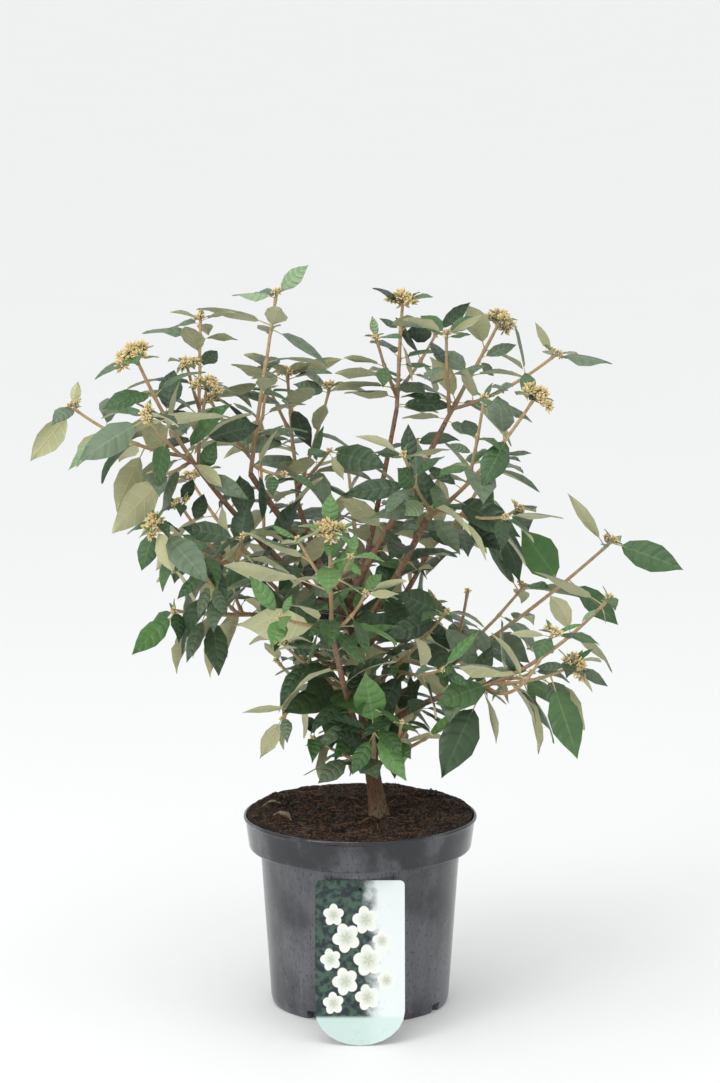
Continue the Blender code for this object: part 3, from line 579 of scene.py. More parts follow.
def fibre_points(rng):
    """Fine roots: each a curve that lies on the peat and lifts off it in its middle."""
    middle = scattered(rng, FIBRES, 0.9)
    turn = rng.uniform(0.0, 2 * math.pi, FIBRES)
    heading = np.stack([np.cos(turn), np.sin(turn), rng.normal(0.0, 0.25, FIBRES)], axis=-1)
    length = rng.uniform(0.5, 2.6, FIBRES)[:, None] * CM
    start, end = middle - heading * length / 2, middle + heading * length / 2
    for spots in (start, end):
        spots[:, 2] = soil_height(spots[:, 0], spots[:, 1]) - 0.5 * MM
        out = np.hypot(spots[:, 0], spots[:, 1])
        spots[:, :2] *= np.minimum(1.0, 0.96 * SOIL_RADIUS / out)[:, None]
    sway = rng.normal(0.0, 1.0, (FIBRES, 3)) * [0.35, 0.35, 0.0] * CM
    lift = np.abs(rng.normal(0.0, 1.0, (FIBRES, 1))) * [0.0, 0.0, 3.0] * MM
    bend = middle + sway + lift
    shares = np.linspace(0.0, 1.0, FIBRE_RINGS)
    paths = curve(start[:, None], bend[:, None], end[:, None], shares[None])
    thin = np.sin(np.linspace(0.5, math.pi - 0.4, FIBRE_RINGS))
    radii = rng.uniform(0.14, 0.34, (FIBRES, 1)) * MM * thin
    return tube_points(paths, radii, sideways(end - start), FIBRE_SIDES)


def root_points():
    """The long roots near the trunk: tubes along quadratic curves that lie on the peat."""
    start, bend, end = (np.array([row[i] for row in LONG_ROOTS])[:, None] * CM for i in range(3))
    paths = curve(start, bend, end, np.linspace(0.0, 1.0, ROOT_RINGS)[None])
    height = soil_height(paths[..., 0], paths[..., 1]) + 0.8 * MM
    paths = np.concatenate([paths, height[..., None]], axis=-1)
    radii = 0.65 * MM * np.linspace(1.0, 0.45, ROOT_RINGS) * np.ones((len(LONG_ROOTS), 1))
    return tube_points(paths, radii, sideways(paths[:, -1] - paths[:, 0]), ROOT_SIDES)


def crumb_points(rng):
    """Crumbs of peat and bark: short fat tubes, thickest in their middle."""
    middle = scattered(rng, CRUMBS)
    heading = unit(rng.normal(0.0, 1.0, (CRUMBS, 3)) * [1.0, 1.0, 0.6])
    length = rng.uniform(0.8, 3.8, CRUMBS)[:, None] * MM
    share = np.linspace(-0.5, 0.5, CRUMB_RINGS)
    paths = middle[:, None] + heading[:, None] * length[:, None] * share[:, None]
    fat = length * rng.uniform(0.22, 0.5, (CRUMBS, 1))
    radii = fat * np.array([0.6, 1.0, 0.9, 0.5]) * rng.uniform(0.7, 1.2, (CRUMBS, CRUMB_RINGS))
    return tube_points(paths, radii, sideways(heading), CRUMB_SIDES)


def fibre_finish():
    root = Finish("root_fibre", Specular_IOR_Level=0.3, Roughness=0.8)
    tone = root.grain(90.0, detail=1.0).between(0.35, 0.65)
    return root.finish(Base_Color=root.mix(tone, (0.055, 0.026, 0.014), (0.27, 0.125, 0.055)))


LONG_ROOTS = [  # start, bend and end of each, as x and y in cm
    ((-0.8, 5.0), (2.0, 0.5), (2.0, -6.0)), ((-4.5, 1.0), (-1.0, 3.4), (1.4, 0.6)),
    ((2.8, -1.0), (4.6, -2.6), (7.6, -1.8)), ((1.6, -0.8), (-1.0, -3.8), (-3.6, -2.4)),
    ((-7.4, -5.8), (-5.8, -7.6), (-3.6, -7.0)),
]
rng = np.random.default_rng(41)
fibres = fibre_points(rng).reshape(-1, 3)
tubes = tube_faces(FIBRE_RINGS, FIBRE_SIDES, FIBRES)
settle(new_object("peat_fibres", fibres, tubes, [fibre_finish()]))
roots = root_points().reshape(-1, 3)
root_look = bpy.data.materials["root_fibre"]
tubes = tube_faces(ROOT_RINGS, ROOT_SIDES, len(LONG_ROOTS))
settle(new_object("long_roots", roots, tubes, [root_look]))
crumbs = crumb_points(rng).reshape(-1, 3)
crumb_look = bpy.data.materials["peat"]
tubes = tube_faces(CRUMB_RINGS, CRUMB_SIDES, CRUMBS)
settle(new_object("peat_crumbs", crumbs, tubes, [crumb_look], crease=60.0))

# %% [markdown]
# ## How the shrub grows
#
# A viburnum grows by one rule at every size. Boughs, shoots and leaves stand in opposite pairs,
# and each pair is turned a quarter against the one below it. The tables below give where the
# boughs and shoots end. The leaves follow the rule with some seeded disorder, and those that stand
# out in the photograph are listed one by one. The plain model grows by the same rule, so the crown has
# the same reach and its shoots run the same way. Its single leaves stand elsewhere, because more of
# them are listed one by one here and more grow along the boughs.

# %% The tables of boughs and shoots
SEED = 12
TRUNK_TOP = np.array([-1.4, 1.0, 48.0]) * CM
TRUNK_RADII = (9.5 * MM, 5.2 * MM)
TRUNK_BOW = 0.02
FLARE, FLARE_SHARE = 5.0 * MM, 0.05
STEM_RADII = (2.6 * MM, 1.7 * MM)
SIDE_RADII = (2.2 * MM, 1.6 * MM)
GAP = 0.3 * MM
CHORD_ERROR = 0.7 * MM
LEAF_WIDTH, LEAF_WIDEST, LEAF_ARCH, LEAF_THICKNESS = 0.42, 0.46, 0.1, 0.016
STALK_SHARE, STALK_RADIUS, ROOT_STEP = 0.16, 0.6 * MM, 0.3 * MM
FIRST_PAIR, LAST_PAIR = 0.2, 0.96
PAIR_SIZES = (0.62, 0.86, 1.0, 1.0, 0.92)
LONGEST_BLADE = 8.6 * CM
PLACED_WIDTH = 0.9
JITTER, CLEAR = 0.28, 0.5 * MM
LEAF_TRIES = (0.0, 0.35, -0.35, 0.7, -0.7, 1.05)
BUD_FLATNESS = 0.85

Bough = namedtuple("Bough", "share tip bow radii")
Mass = namedtuple("Mass", "carrier droop shoots leaves", defaults=[()])
Shoot = namedtuple("Shoot", "parent share tip bow pairs leaf bud")
Seen = namedtuple("Seen", "shoot share x z y face tint width")

# Where each bough leaves the trunk, where it ends in cm, how far it sags, and its radii in mm
BOUGHS = {
    "bough_left": Bough(0.95, (-12.0, -3.0, 60.5), 0.05, (4.4, 3.3)),
    "bough_upper_right": Bough(0.95, (9.4, 4.0, 65.0), 0.02, (4.4, 3.0)),
    "bough_far_left": Bough(0.87, (-17.0, -8.0, 61.2), 0.06, (4.0, 2.8)),
    "bough_centre": Bough(0.87, (4.1, 8.0, 66.0), 0.04, (3.6, 2.6)),
    "bough_right": Bough(0.79, (7.2, -6.0, 56.0), 0.06, (4.2, 3.4)),
    "bough_mid_left": Bough(0.79, (-6.9, 8.0, 55.0), 0.05, (3.8, 3.0)),
    "bough_side_left": Bough(0.70, (-12.5, -6.5, 50.5), 0.05, (3.4, 2.6)),
    "bough_back_right": Bough(0.70, (8.0, 12.0, 49.5), 0.06, (3.6, 2.8)),
    "bough_low_left": Bough(0.60, (-12.0, -4.0, 45.0), 0.0, (3.2, 2.4)),
    "bough_back": Bough(0.60, (0.0, 13.5, 47.0), 0.06, (3.4, 2.6)),
    "bough_long_right": Bough(0.48, (7.6, 5.5, 35.6), 0.0, (3.8, 3.0)),
    "bough_back_left": Bough(0.48, (-9.5, 11.0, 45.0), 0.05, (3.4, 2.6)),
    "bough_low_right": Bough(0.37, (13.0, -8.5, 37.7), -0.06, (4.0, 2.9)),
    "bough_low_back": Bough(0.30, (3.0, 10.5, 37.0), 0.04, (3.2, 2.5)),
    "bough_front": Bough(0.30, (-3.0, -13.4, 44.6), 0.08, (3.8, 3.0)),
}

# Each mass grows from a bough's tip, or from a share of the trunk's height, and its leaves droop by
# the number given. A shoot has its parent and share, its tip in cm, its sag, its pairs of leaves,
# their length in cm and its bud head's radius in mm. A leaf that stands out has its shoot and share,
# its tip's x and z in cm as seen against an upright plane through the pot's axis, the tip's real y,
# the way its upper face looks, its tint and its width against a common leaf's.
FACES = {"front": (0.0, -1.0, 0.5), "away": (0.0, 1.0, 0.4), "up": (0.0, -0.25, 1.0),
         "tilted": (0.0, 0.6, 1.0), "side": (1.0, 0.4, 0.4)}
FOLIAGE = {
    "foliage_upper_left": Mass("bough_left", 0.30, (
        Shoot(None, 0.0, (-9.2, 4.0, 79.6), -0.03, 5, 7.6, 8),
        Shoot(0, 0.07, (-16.6, 2.0, 68.0), 0.04, 3, 6.4, 10),
        Shoot(0, 0.14, (-10.4, 9.0, 68.2), 0.05, 3, 6.8, 8),
        Shoot(0, 0.05, (-8.2, -9.0, 61.5), 0.05, 2, 6.5, 5),
    ), (
        Seen(0, 0.99, -5.6, 83.2, 3, "front", "young", 1.15),
        Seen(0, 0.97, -14.1, 79.8, 4, "up", "young", 1.3),
        Seen(0, 0.80, -18.0, 78.3, 6, "tilted", "dull_and_sheen", 0.9),
        Seen(0, 0.78, -3.4, 71.7, 1, "up", "dull_and_sheen", 1.0),
        Seen(0, 0.52, -10.0, 73.0, 8, "front", "deep", 1.3),
        Seen(0, 0.12, -11.0, 64.4, 0, "front", "dull_and_sheen", 1.1),
        Seen(2, 0.50, -14.0, 67.9, 8, "tilted", "dull_and_sheen", 1.0),
        Seen(0, 0.47, -15.9, 68.3, 6, "tilted", "dull_and_sheen", 0.8),
        Seen(3, 0.60, -9.6, 57.5, -9, "front", "mid", 1.3),
    )),
    "foliage_far_left": Mass("bough_far_left", 0.45, (
        Shoot(None, 0.0, (-24.3, -10.0, 74.8), 0.06, 4, 7.4, 17),
        Shoot(0, 0.07, (-17.6, 3.0, 77.0), 0.05, 5, 7.2, 8),
        Shoot(0, 0.12, (-22.8, -17.0, 69.2), 0.05, 3, 8.4, 10),
        Shoot(0, 0.20, (-31.2, -7.5, 68.6), 0.08, 4, 7.4, 8),
        Shoot(1, 0.30, (-16.6, -5.5, 70.8), 0.05, 2, 5.5, 13),
        Shoot(1, 0.45, (-18.9, -4.0, 72.8), 0.05, 1, 5.0, 11),
        Shoot(0, 0.16, (-22.5, -12.5, 62.0), 0.08, 2, 9.4, 6),
    ), (
        Seen(3, 0.98, -36.4, 61.4, -9, "away", "dull_and_sheen", 1.1),
        Seen(3, 0.99, -31.0, 70.4, -7, "away", "dull_and_sheen", 1.3),
        Seen(3, 0.70, -32.2, 60.4, -10, "front", "young", 0.6),
        Seen(2, 0.95, -31.2, 61.4, -18, "front", "dull_and_sheen", 1.1),
        Seen(2, 0.88, -14.2, 66.3, -15, "tilted", "dull_and_sheen", 1.1),
        Seen(3, 0.38, -26.9, 55.7, -12, "away", "dull_and_sheen", 1.1),
        Seen(6, 0.40, -27.4, 53.3, -16, "away", "dull_and_sheen", 1.05),
        Seen(0, 0.75, -28.5, 67.1, -10, "front", "mid", 1.2),
        Seen(0, 0.72, -26.2, 68.0, -12, "front", "mid", 0.9),
        Seen(0, 0.55, -20.4, 71.6, -5, "front", "deep", 1.4),
        Seen(1, 0.90, -24.0, 75.6, 1, "up", "dull_and_sheen", 1.2),
        Seen(1, 0.88, -13.4, 74.9, 2, "tilted", "dull_and_sheen", 1.2),
        Seen(1, 0.99, -20.9, 78.0, 3, "tilted", "dull_and_sheen", 0.9),
        Seen(1, 0.98, -13.6, 78.0, 2, "tilted", "dull_and_sheen", 0.8),
        Seen(1, 0.70, -15.7, 73.7, 4, "front", "deep", 1.2),
        Seen(1, 0.22, -11.1, 65.4, -3, "front", "deep", 1.2),
        Seen(0, 0.04, -12.3, 57.1, -9, "front", "dull_and_sheen", 1.0),
        Seen(0, 0.03, -15.8, 63.7, -9, "front", "mid", 1.3),
        Seen(0, 0.45, -24.9, 68.0, -9, "up", "dull_and_sheen", 1.0),
        Seen(6, 0.05, -15.2, 58.5, -10, "away", "dull_and_sheen", 1.2),
        Seen(0, 0.97, -29.2, 70.5, -12, "up", "dull_and_sheen", 0.8),
        Seen(0, 0.97, -22.0, 73.0, -9, "tilted", "mid", 0.8),
    )),
    "foliage_mid_left": Mass("bough_mid_left", 0.25, (
        Shoot(None, 0.0, (-8.2, 12.0, 69.6), 0.02, 4, 7.4, 10),
        Shoot(0, 0.10, (-3.4, 16.0, 67.4), 0.04, 3, 7.0, 9),
        Shoot(0, 0.55, (-10.8, 13.5, 69.0), 0.05, 2, 6.4, 7),
        Shoot(0, 0.16, (-3.4, 4.0, 62.0), 0.05, 3, 7.2, 5),
    ), (
        Seen(0, 0.99, -12.8, 73.3, 12, "tilted", "dull_and_sheen", 1.1),
        Seen(0, 0.93, -14.2, 72.2, 10, "tilted", "dull_and_sheen", 0.9),
        Seen(0, 0.98, -1.9, 72.8, 12, "away", "dull_and_sheen", 0.8),
        Seen(0, 0.95, -3.0, 71.2, 9, "up", "dull_and_sheen", 0.9),
        Seen(0, 0.74, -13.8, 68.7, 9, "up", "dull_and_sheen", 1.3),
        Seen(1, 0.95, -7.4, 70.0, 15, "front", "dull_and_sheen", 1.3),
        Seen(0, 0.78, -5.4, 62.9, 10, "front", "deep", 1.1),
        Seen(0, 0.50, -10.2, 64.3, 11, "up", "dull_and_sheen", 1.0),
        Seen(3, 0.75, -8.2, 60.6, 3, "away", "dull_and_sheen", 1.2),
        Seen(3, 0.97, -1.8, 59.3, 2, "away", "dull_and_sheen", 1.0),
        Seen(3, 0.98, 3.1, 60.5, -1, "front", "deep", 1.1),
    )),
    "foliage_top_centre": Mass("bough_centre", 0.20, (
        Shoot(None, 0.0, (4.8, 10.0, 78.2), 0.0, 4, 6.8, 15),
        Shoot(0, 0.10, (1.7, 3.0, 74.9), 0.03, 3, 6.8, 6),
        Shoot(0, 0.16, (8.8, 17.0, 73.6), 0.04, 3, 7.0, 8),
    ), (
        Seen(2, 0.97, 4.9, 75.7, 15, "front", "deep", 1.6),
        Seen(2, 0.98, 12.1, 79.1, 18, "front", "deep", 1.0),
        Seen(1, 0.98, 1.3, 77.6, 3, "front", "young", 1.3),
        Seen(0, 0.72, 2.1, 77.3, 9, "front", "dull_and_sheen", 0.9),
        Seen(0, 0.62, 5.7, 70.3, 8, "side", "mid", 0.8),
        Seen(0, 0.40, 8.0, 71.9, 8, "up", "dull_and_sheen", 1.0),
        Seen(1, 0.55, -1.9, 72.9, 3, "tilted", "dull_and_sheen", 1.0),
        Seen(1, 0.35, -2.8, 71.2, 2, "tilted", "dull_and_sheen", 1.0),
        Seen(0, 0.10, -1.8, 69.0, 5, "tilted", "dull_and_sheen", 1.1),
        Seen(2, 0.35, 8.4, 69.9, 14, "up", "dull_and_sheen", 1.1),
        Seen(0, 0.04, 10.4, 67.5, 6, "front", "deep", 0.8),
        Seen(0, 0.02, 8.7, 66.8, 9, "tilted", "deep", 1.0),
    )),
    "foliage_upper_right": Mass("bough_upper_right", 0.25, (
        Shoot(None, 0.0, (15.8, 10.0, 75.9), 0.0, 4, 7.0, 15),
        Shoot(0, 0.08, (9.5, 2.0, 75.4), 0.03, 3, 6.6, 7),
        Shoot(0, 0.14, (21.6, 1.0, 73.2), 0.06, 4, 6.6, 8),
    ), (
        Seen(1, 0.98, 4.5, 77.2, 0, "tilted", "dull_and_sheen", 1.0),
        Seen(1, 0.97, 13.6, 77.7, 1, "away", "dull_and_sheen", 0.6),
        Seen(1, 0.95, 12.2, 75.5, 1, "up", "mid", 1.2),
        Seen(1, 0.50, 13.9, 72.0, 2, "up", "dull_and_sheen", 1.2),
        Seen(1, 0.48, 7.8, 70.0, 3, "up", "dull_and_sheen", 0.9),
        Seen(0, 0.62, 17.2, 74.4, 9, "front", "dull_and_sheen", 1.0),
        Seen(0, 0.60, 14.7, 70.9, 8, "front", "dull_and_sheen", 1.3),
        Seen(2, 0.97, 19.2, 76.9, 1, "away", "dull_and_sheen", 0.7),
        Seen(2, 0.98, 27.8, 72.2, 0, "up", "dull_and_sheen", 1.0),
        Seen(0, 0.04, 4.6, 66.2, 2, "tilted", "dull_and_sheen", 1.0),
        Seen(0, 0.03, 12.9, 63.8, 1, "up", "dull_and_sheen", 1.2),
    )),
    "foliage_right": Mass("bough_right", 0.35, (
        Shoot(None, 0.0, (19.0, -11.0, 70.5), 0.07, 4, 8.0, 15),
        Shoot(0, 0.38, (13.4, -9.5, 70.0), 0.06, 3, 7.0, 6),
        Shoot(0, 0.07, (4.7, -11.5, 64.0), 0.08, 3, 6.6, 6),
        Shoot(0, 0.12, (15.6, -13.5, 57.6), 0.05, 3, 8.4, 5),
    ), (
        Seen(0, 0.76, 13.4, 58.5, -14, "front", "mid", 1.1),
        Seen(0, 0.24, 17.8, 52.9, -13, "front", "deep", 1.1),
        Seen(0, 0.52, 19.9, 57.9, -8, "up", "dull_and_sheen", 0.8),
        Seen(0, 0.60, 19.0, 62.3, -10, "up", "dull_and_sheen", 0.7),
        Seen(1, 0.98, 19.0, 65.7, -9, "up", "dull_and_sheen", 1.1),
        Seen(1, 0.97, 14.6, 70.2, -9, "up", "dull_and_sheen", 1.1),
        Seen(1, 0.40, 9.9, 63.4, -8, "front", "dull_and_sheen", 0.9),
        Seen(1, 0.25, 9.9, 60.9, -7, "front", "young", 0.8),
        Seen(1, 0.55, 11.5, 66.0, -4, "front", "deep", 1.1),
        Seen(0, 0.33, 7.2, 60.9, -5, "front", "deep", 0.8),
        Seen(3, 0.98, 22.6, 55.0, -13, "tilted", "dull_and_sheen", 0.8),
        Seen(0, 0.12, 13.4, 56.4, -7, "up", "mid", 1.2),
        Seen(0, 0.02, 6.9, 60.6, -4, "front", "deep", 1.3),
        Seen(2, 0.55, 4.1, 60.7, -12, "front", "mid", 1.5),
        Seen(2, 0.30, 4.9, 55.4, -11, "front", "young", 1.5),
        Seen(2, 0.99, -0.5, 64.2, -12, "tilted", "dull_and_sheen", 0.9),
        Seen(2, 0.97, 10.0, 62.7, -11, "tilted", "dull_and_sheen", 0.9),
        Seen(2, 0.80, 5.3, 65.6, -8, "front", "deep", 1.0),
        Seen(2, 0.70, 9.4, 62.0, -9, "up", "mid", 1.3),
        Seen(2, 0.60, -1.9, 57.7, -9, "front", "deep", 0.85),
        Seen(0, 0.06, 11.1, 50.9, -8, "front", "dull_and_sheen", 1.3),
        Seen(3, 0.35, 15.3, 51.5, -9, "front", "deep", 1.4),
        Seen(3, 0.25, 14.0, 50.2, -12, "side", "dull_and_sheen", 0.8),
        Seen(2, 0.12, 0.6, 54.8, -10, "up", "dull_and_sheen", 1.2),
    )),
    "foliage_long_right": Mass("bough_long_right", 0.45, (
        Shoot(None, 0.0, (28.2, 4.0, 51.8), 0.03, 4, 7.4, 8),
        Shoot(0, 0.06, (18.6, 13.0, 44.8), 0.03, 4, 7.0, 8),
        Shoot(0, 0.13, (12.0, 2.0, 46.5), 0.08, 3, 7.4, 5),
    ), (
        Seen(0, 0.99, 35.9, 49.2, 1.5, "front", "mid", 1.0),
        Seen(0, 0.96, 22.9, 57.9, 5, "away", "dull_and_sheen", 0.5),
        Seen(0, 0.72, 17.8, 53.9, 2, "front", "bright", 1.35),
        Seen(0, 0.76, 28.7, 43.0, 4, "front", "mid", 0.95),
        Seen(1, 0.95, 13.4, 53.2, 12, "front", "dull_and_sheen", 0.55),
        Seen(1, 0.98, 24.8, 46.0, 10, "up", "dull_and_sheen", 0.9),
        Seen(1, 0.50, 18.9, 38.7, 3, "front", "dull_and_sheen", 1.25),
        Seen(1, 0.52, 9.2, 44.2, 6, "up", "dull_and_sheen", 1.3),
    )),
    "foliage_low_right": Mass("bough_low_right", 0.50, (
        Shoot(None, 0.0, (27.2, -8.0, 47.6), 0.08, 4, 7.2, 7),
        Shoot(0, 0.10, (23.3, -13.5, 41.4), 0.06, 3, 8.2, 13),
        Shoot(0, 0.05, (20.6, -19.5, 46.2), 0.20, 3, 8.0, 9),
        Shoot(0, 0.20, (19.0, -4.0, 38.5), 0.05, 3, 8.0, 5),
    ), (
        Seen(1, 0.70, 24.3, 27.7, -15, "front", "mid", 0.95),
        Seen(1, 0.62, 23.4, 33.2, -12, "front", "dull_and_sheen", 1.5),
        Seen(0, 0.04, 9.1, 25.5, -12, "front", "deep", 1.2),
        Seen(2, 0.62, 10.2, 38.3, -19, "tilted", "dull_and_sheen", 1.0),
        Seen(0, 0.95, 19.3, 49.0, -8, "tilted", "dull_and_sheen", 0.9),
        Seen(0, 0.93, 24.6, 43.3, -10, "up", "young", 0.8),
        Seen(0, 0.94, 27.3, 43.2, -9, "tilted", "dull_and_sheen", 0.8),
        Seen(2, 0.97, 16.6, 42.0, -21, "away", "dull_and_sheen", 0.6),
        Seen(2, 0.95, 24.7, 43.1, -19, "up", "fresh", 0.8),
        Seen(3, 0.60, 19.9, 28.2, -4, "side", "dull_and_sheen", 0.8),
        Seen(0, 0.10, 8.4, 34.0, -13, "front", "mid", 1.3),
        Seen(0, 0.02, 15.2, 29.4, -8, "side", "dull_and_sheen", 0.8),
        Seen(1, 0.40, 19.6, 34.1, -11, "up", "mid", 1.1),
        Seen(1, 0.98, 27.6, 36.0, -12, "front", "dull_and_sheen", 0.9),
        Seen(1, 0.97, 26.2, 40.4, -13, "up", "mid", 1.0),
        Seen(1, 0.95, 19.5, 38.2, -12, "front", "dull_and_sheen", 0.8),
        Seen(1, 0.99, 25.9, 35.3, -14, "tilted", "dull_and_sheen", 0.7),
        Seen(1, 0.96, 22.0, 40.3, -14, "up", "mid", 0.8),
        Seen(1, 0.15, 14.7, 34.3, -12, "tilted", "dull_and_sheen", 0.8),
    )),
    "foliage_front": Mass("bough_front", 0.35, (
        Shoot(None, 0.0, (-3.3, -18.5, 57.2), 0.06, 4, 7.6, 15),
        Shoot(0, 0.50, (-6.6, -17.0, 55.8), 0.05, 2, 5.0, 5),
        Shoot(0, 0.52, (-1.0, -20.5, 54.6), 0.10, 2, 5.4, 5),
        Shoot(0, 0.08, (0.6, -19.5, 50.4), 0.10, 3, 6.4, 5),
        Shoot(0, 0.12, (-8.6, -18.0, 47.5), 0.05, 2, 6.6, 5),
    ), (
        Seen(0, 0.48, -15.2, 49.7, -17, "tilted", "dull_and_sheen", 1.1),
        Seen(0, 0.06, -14.2, 42.9, -14, "away", "dull_and_sheen", 1.1),
        Seen(3, 0.96, 5.2, 48.0, -20, "tilted", "dull_and_sheen", 1.0),
        Seen(3, 0.97, 4.3, 46.5, -20, "away", "dull_and_sheen", 0.8),
        Seen(4, 0.93, -9.9, 40.4, -22, "front", "fresh", 1.3),
        Seen(4, 0.98, -12.3, 48.6, -18, "front", "fresh", 0.9),
        Seen(4, 0.97, -7.5, 46.5, -18, "front", "fresh", 0.9),
        Seen(1, 0.98, -9.9, 54.2, -17, "up", "fresh", 1.2),
        Seen(0, 0.95, -3.5, 50.6, -20, "front", "fresh", 1.1),
        Seen(2, 0.98, -0.4, 53.4, -20, "front", "fresh", 1.2),
        Seen(2, 0.90, 0.2, 48.6, -21, "front", "fresh", 1.1),
        Seen(0, 0.99, -3.2, 57.9, -18, "front", "fresh", 1.4),
        Seen(0, 0.97, -6.9, 54.2, -19, "up", "fresh", 0.9),
        Seen(0, 0.97, -0.5, 54.4, -18, "up", "fresh", 0.9),
        Seen(0, 0.10, 0.7, 38.4, -17, "front", "mid", 0.75),
        Seen(1, 0.60, -12.9, 53.4, -14, "tilted", "dull_and_sheen", 0.9),
        Seen(1, 0.95, -9.2, 52.0, -15, "away", "dull_and_sheen", 0.7),
    )),
    "foliage_low_left": Mass("bough_low_left", 0.95, (
        Shoot(None, 0.0, (-20.2, -9.0, 46.4), 0.02, 4, 7.6, 7),
        Shoot(0, 0.15, (-17.0, -11.5, 51.5), 0.05, 3, 8.4, 5),
        Shoot(0, 0.10, (-14.5, 2.0, 48.5), 0.05, 2, 7.0, 5),
    ), (
        Seen(0, 0.96, -25.4, 39.6, -11, "front", "bright", 1.0),
        Seen(0, 0.50, -15.7, 37.2, -11, "front", "deep", 1.1),
        Seen(1, 0.60, -16.3, 42.1, -14, "front", "dull_and_sheen", 0.9),
        Seen(1, 0.80, -18.0, 43.7, -12, "front", "dull_and_sheen", 0.9),
        Seen(1, 0.75, -14.8, 43.9, -13, "front", "dull_and_sheen", 0.9),
        Seen(0, 0.60, -19.3, 38.7, -10, "front", "dull_and_sheen", 0.8),
        Seen(1, 0.97, -20.3, 45.9, -12, "front", "mid", 0.8),
    )),
    "foliage_side_left": Mass("bough_side_left", 0.75, (
        Shoot(None, 0.0, (-22.2, -14.0, 57.0), 0.05, 4, 7.6, 12),
        Shoot(0, 0.18, (-19.6, -8.5, 58.2), 0.05, 2, 6.8, 9),
        Shoot(0, 0.12, (-12.6, -13.5, 55.5), 0.06, 3, 7.6, 5),
    ), (
        Seen(0, 0.92, -16.8, 47.6, -18, "front", "dull_and_sheen", 1.25),
        Seen(0, 0.98, -20.7, 48.9, -16, "away", "dull_and_sheen", 1.1),
        Seen(0, 0.97, -24.2, 49.1, -13, "front", "mid", 1.1),
        Seen(2, 0.90, -19.7, 54.0, -11, "front", "deep", 1.0),
        Seen(1, 0.97, -18.4, 59.4, -7, "front", "deep", 1.4),
        Seen(1, 0.70, -17.2, 57.8, -6, "front", "deep", 1.3),
        Seen(2, 0.97, -15.4, 50.2, -14, "side", "dull_and_sheen", 0.8),
        Seen(2, 0.10, -10.9, 48.0, -12, "front", "deep", 1.3),
    )),
    "foliage_back_right": Mass("bough_back_right", 0.60, (
        Shoot(None, 0.0, (15.5, 20.0, 58.0), 0.06, 4, 8.0, 10),
        Shoot(0, 0.10, (6.0, 19.0, 60.5), 0.05, 3, 7.8, 8),
        Shoot(0, 0.18, (18.0, 12.0, 54.0), 0.05, 3, 8.0, 8),
    )),
    "foliage_back": Mass("bough_back", 0.60, (
        Shoot(None, 0.0, (-1.5, 24.0, 58.0), 0.06, 4, 8.0, 11),
        Shoot(0, 0.10, (-8.0, 19.0, 53.0), 0.06, 3, 7.4, 7),
        Shoot(0, 0.16, (6.5, 24.5, 51.0), 0.06, 3, 8.0, 8),
    )),
    "foliage_back_left": Mass("bough_back_left", 0.60, (
        Shoot(None, 0.0, (-19.5, 16.0, 57.0), 0.06, 4, 8.0, 10),
        Shoot(0, 0.10, (-11.5, 20.5, 60.0), 0.07, 3, 7.8, 8),
        Shoot(0, 0.16, (-20.5, 9.0, 49.0), 0.05, 3, 8.2, 7),
    )),
    "foliage_low_back": Mass("bough_low_back", 0.60, (
        Shoot(None, 0.0, (8.5, 21.0, 41.5), 0.04, 4, 7.6, 8),
        Shoot(0, 0.12, (-4.5, 20.5, 41.0), 0.05, 4, 7.6, 7),
    )),
    "spray_centre_left": Mass(0.53, 0.60, (
        Shoot(None, 0.0, (-8.5, -7.5, 42.5), 0.04, 4, 7.4, 5),
        Shoot(0, 0.35, (-8.6, -6.5, 33.8), -0.10, 3, 6.4, 4),
    ), (
        Seen(1, 0.97, -11.2, 27.7, -8, "away", "dull_and_sheen", 1.0),
        Seen(1, 0.82, -13.2, 33.0, -7, "away", "dull_and_sheen", 0.5),
        Seen(0, 0.20, -8.7, 32.9, -9, "front", "deep", 0.9),
        Seen(0, 0.35, -6.2, 35.5, -9, "front", "deep", 1.4),
        Seen(0, 0.98, -4.2, 40.0, -8, "front", "deep", 1.0),
        Seen(0, 0.70, -3.1, 38.9, -9, "up", "mid", 1.2),
        Seen(0, 0.90, -5.0, 46.8, -8, "front", "deep", 1.0),
        Seen(0, 0.99, -10.8, 48.3, -9, "front", "deep", 0.9),
        Seen(0, 0.28, 0.3, 32.7, -12, "front", "mid", 1.3),
    )),
    "spray_centre_right": Mass(0.56, 0.60, (
        Shoot(None, 0.0, (9.5, -7.0, 46.0), 0.05, 4, 7.6, 5),
        Shoot(0, 0.35, (9.0, -12.0, 40.5), 0.05, 3, 7.4, 4),
    ), (
        Seen(0, 0.97, 4.1, 46.7, -7, "front", "deep", 1.3),
        Seen(0, 0.95, 2.6, 41.3, -9, "front", "deep", 1.2),
        Seen(1, 0.97, 13.4, 42.4, -12, "front", "fresh", 0.6),
        Seen(1, 0.80, 10.6, 37.8, -13, "front", "mid", 1.1),
        Seen(1, 0.98, 12.2, 36.0, -12, "front", "mid", 1.2),
        Seen(0, 0.65, 0.7, 44.4, -6, "front", "deep", 1.1),
        Seen(0, 0.90, 13.4, 38.0, -6, "front", "dull_and_sheen", 0.9),
        Seen(0, 0.20, 4.0, 37.2, -10, "front", "mid", 1.2),
    )),
    "spray_back_low_left": Mass(0.36, 0.60, (
        Shoot(None, 0.0, (-9.5, 9.5, 37.0), 0.04, 4, 7.6, 5),
    )),
    "spray_low_right": Mass(0.24, 0.60, (
        Shoot(None, 0.0, (7.4, -5.5, 31.4), 0.0, 2, 6.2, 0),
        Shoot(0, 0.30, (4.6, -11.0, 34.5), 0.05, 3, 7.2, 4),
    ), (
        Seen(0, 0.97, 11.8, 33.5, -9, "front", "fresh", 0.6),
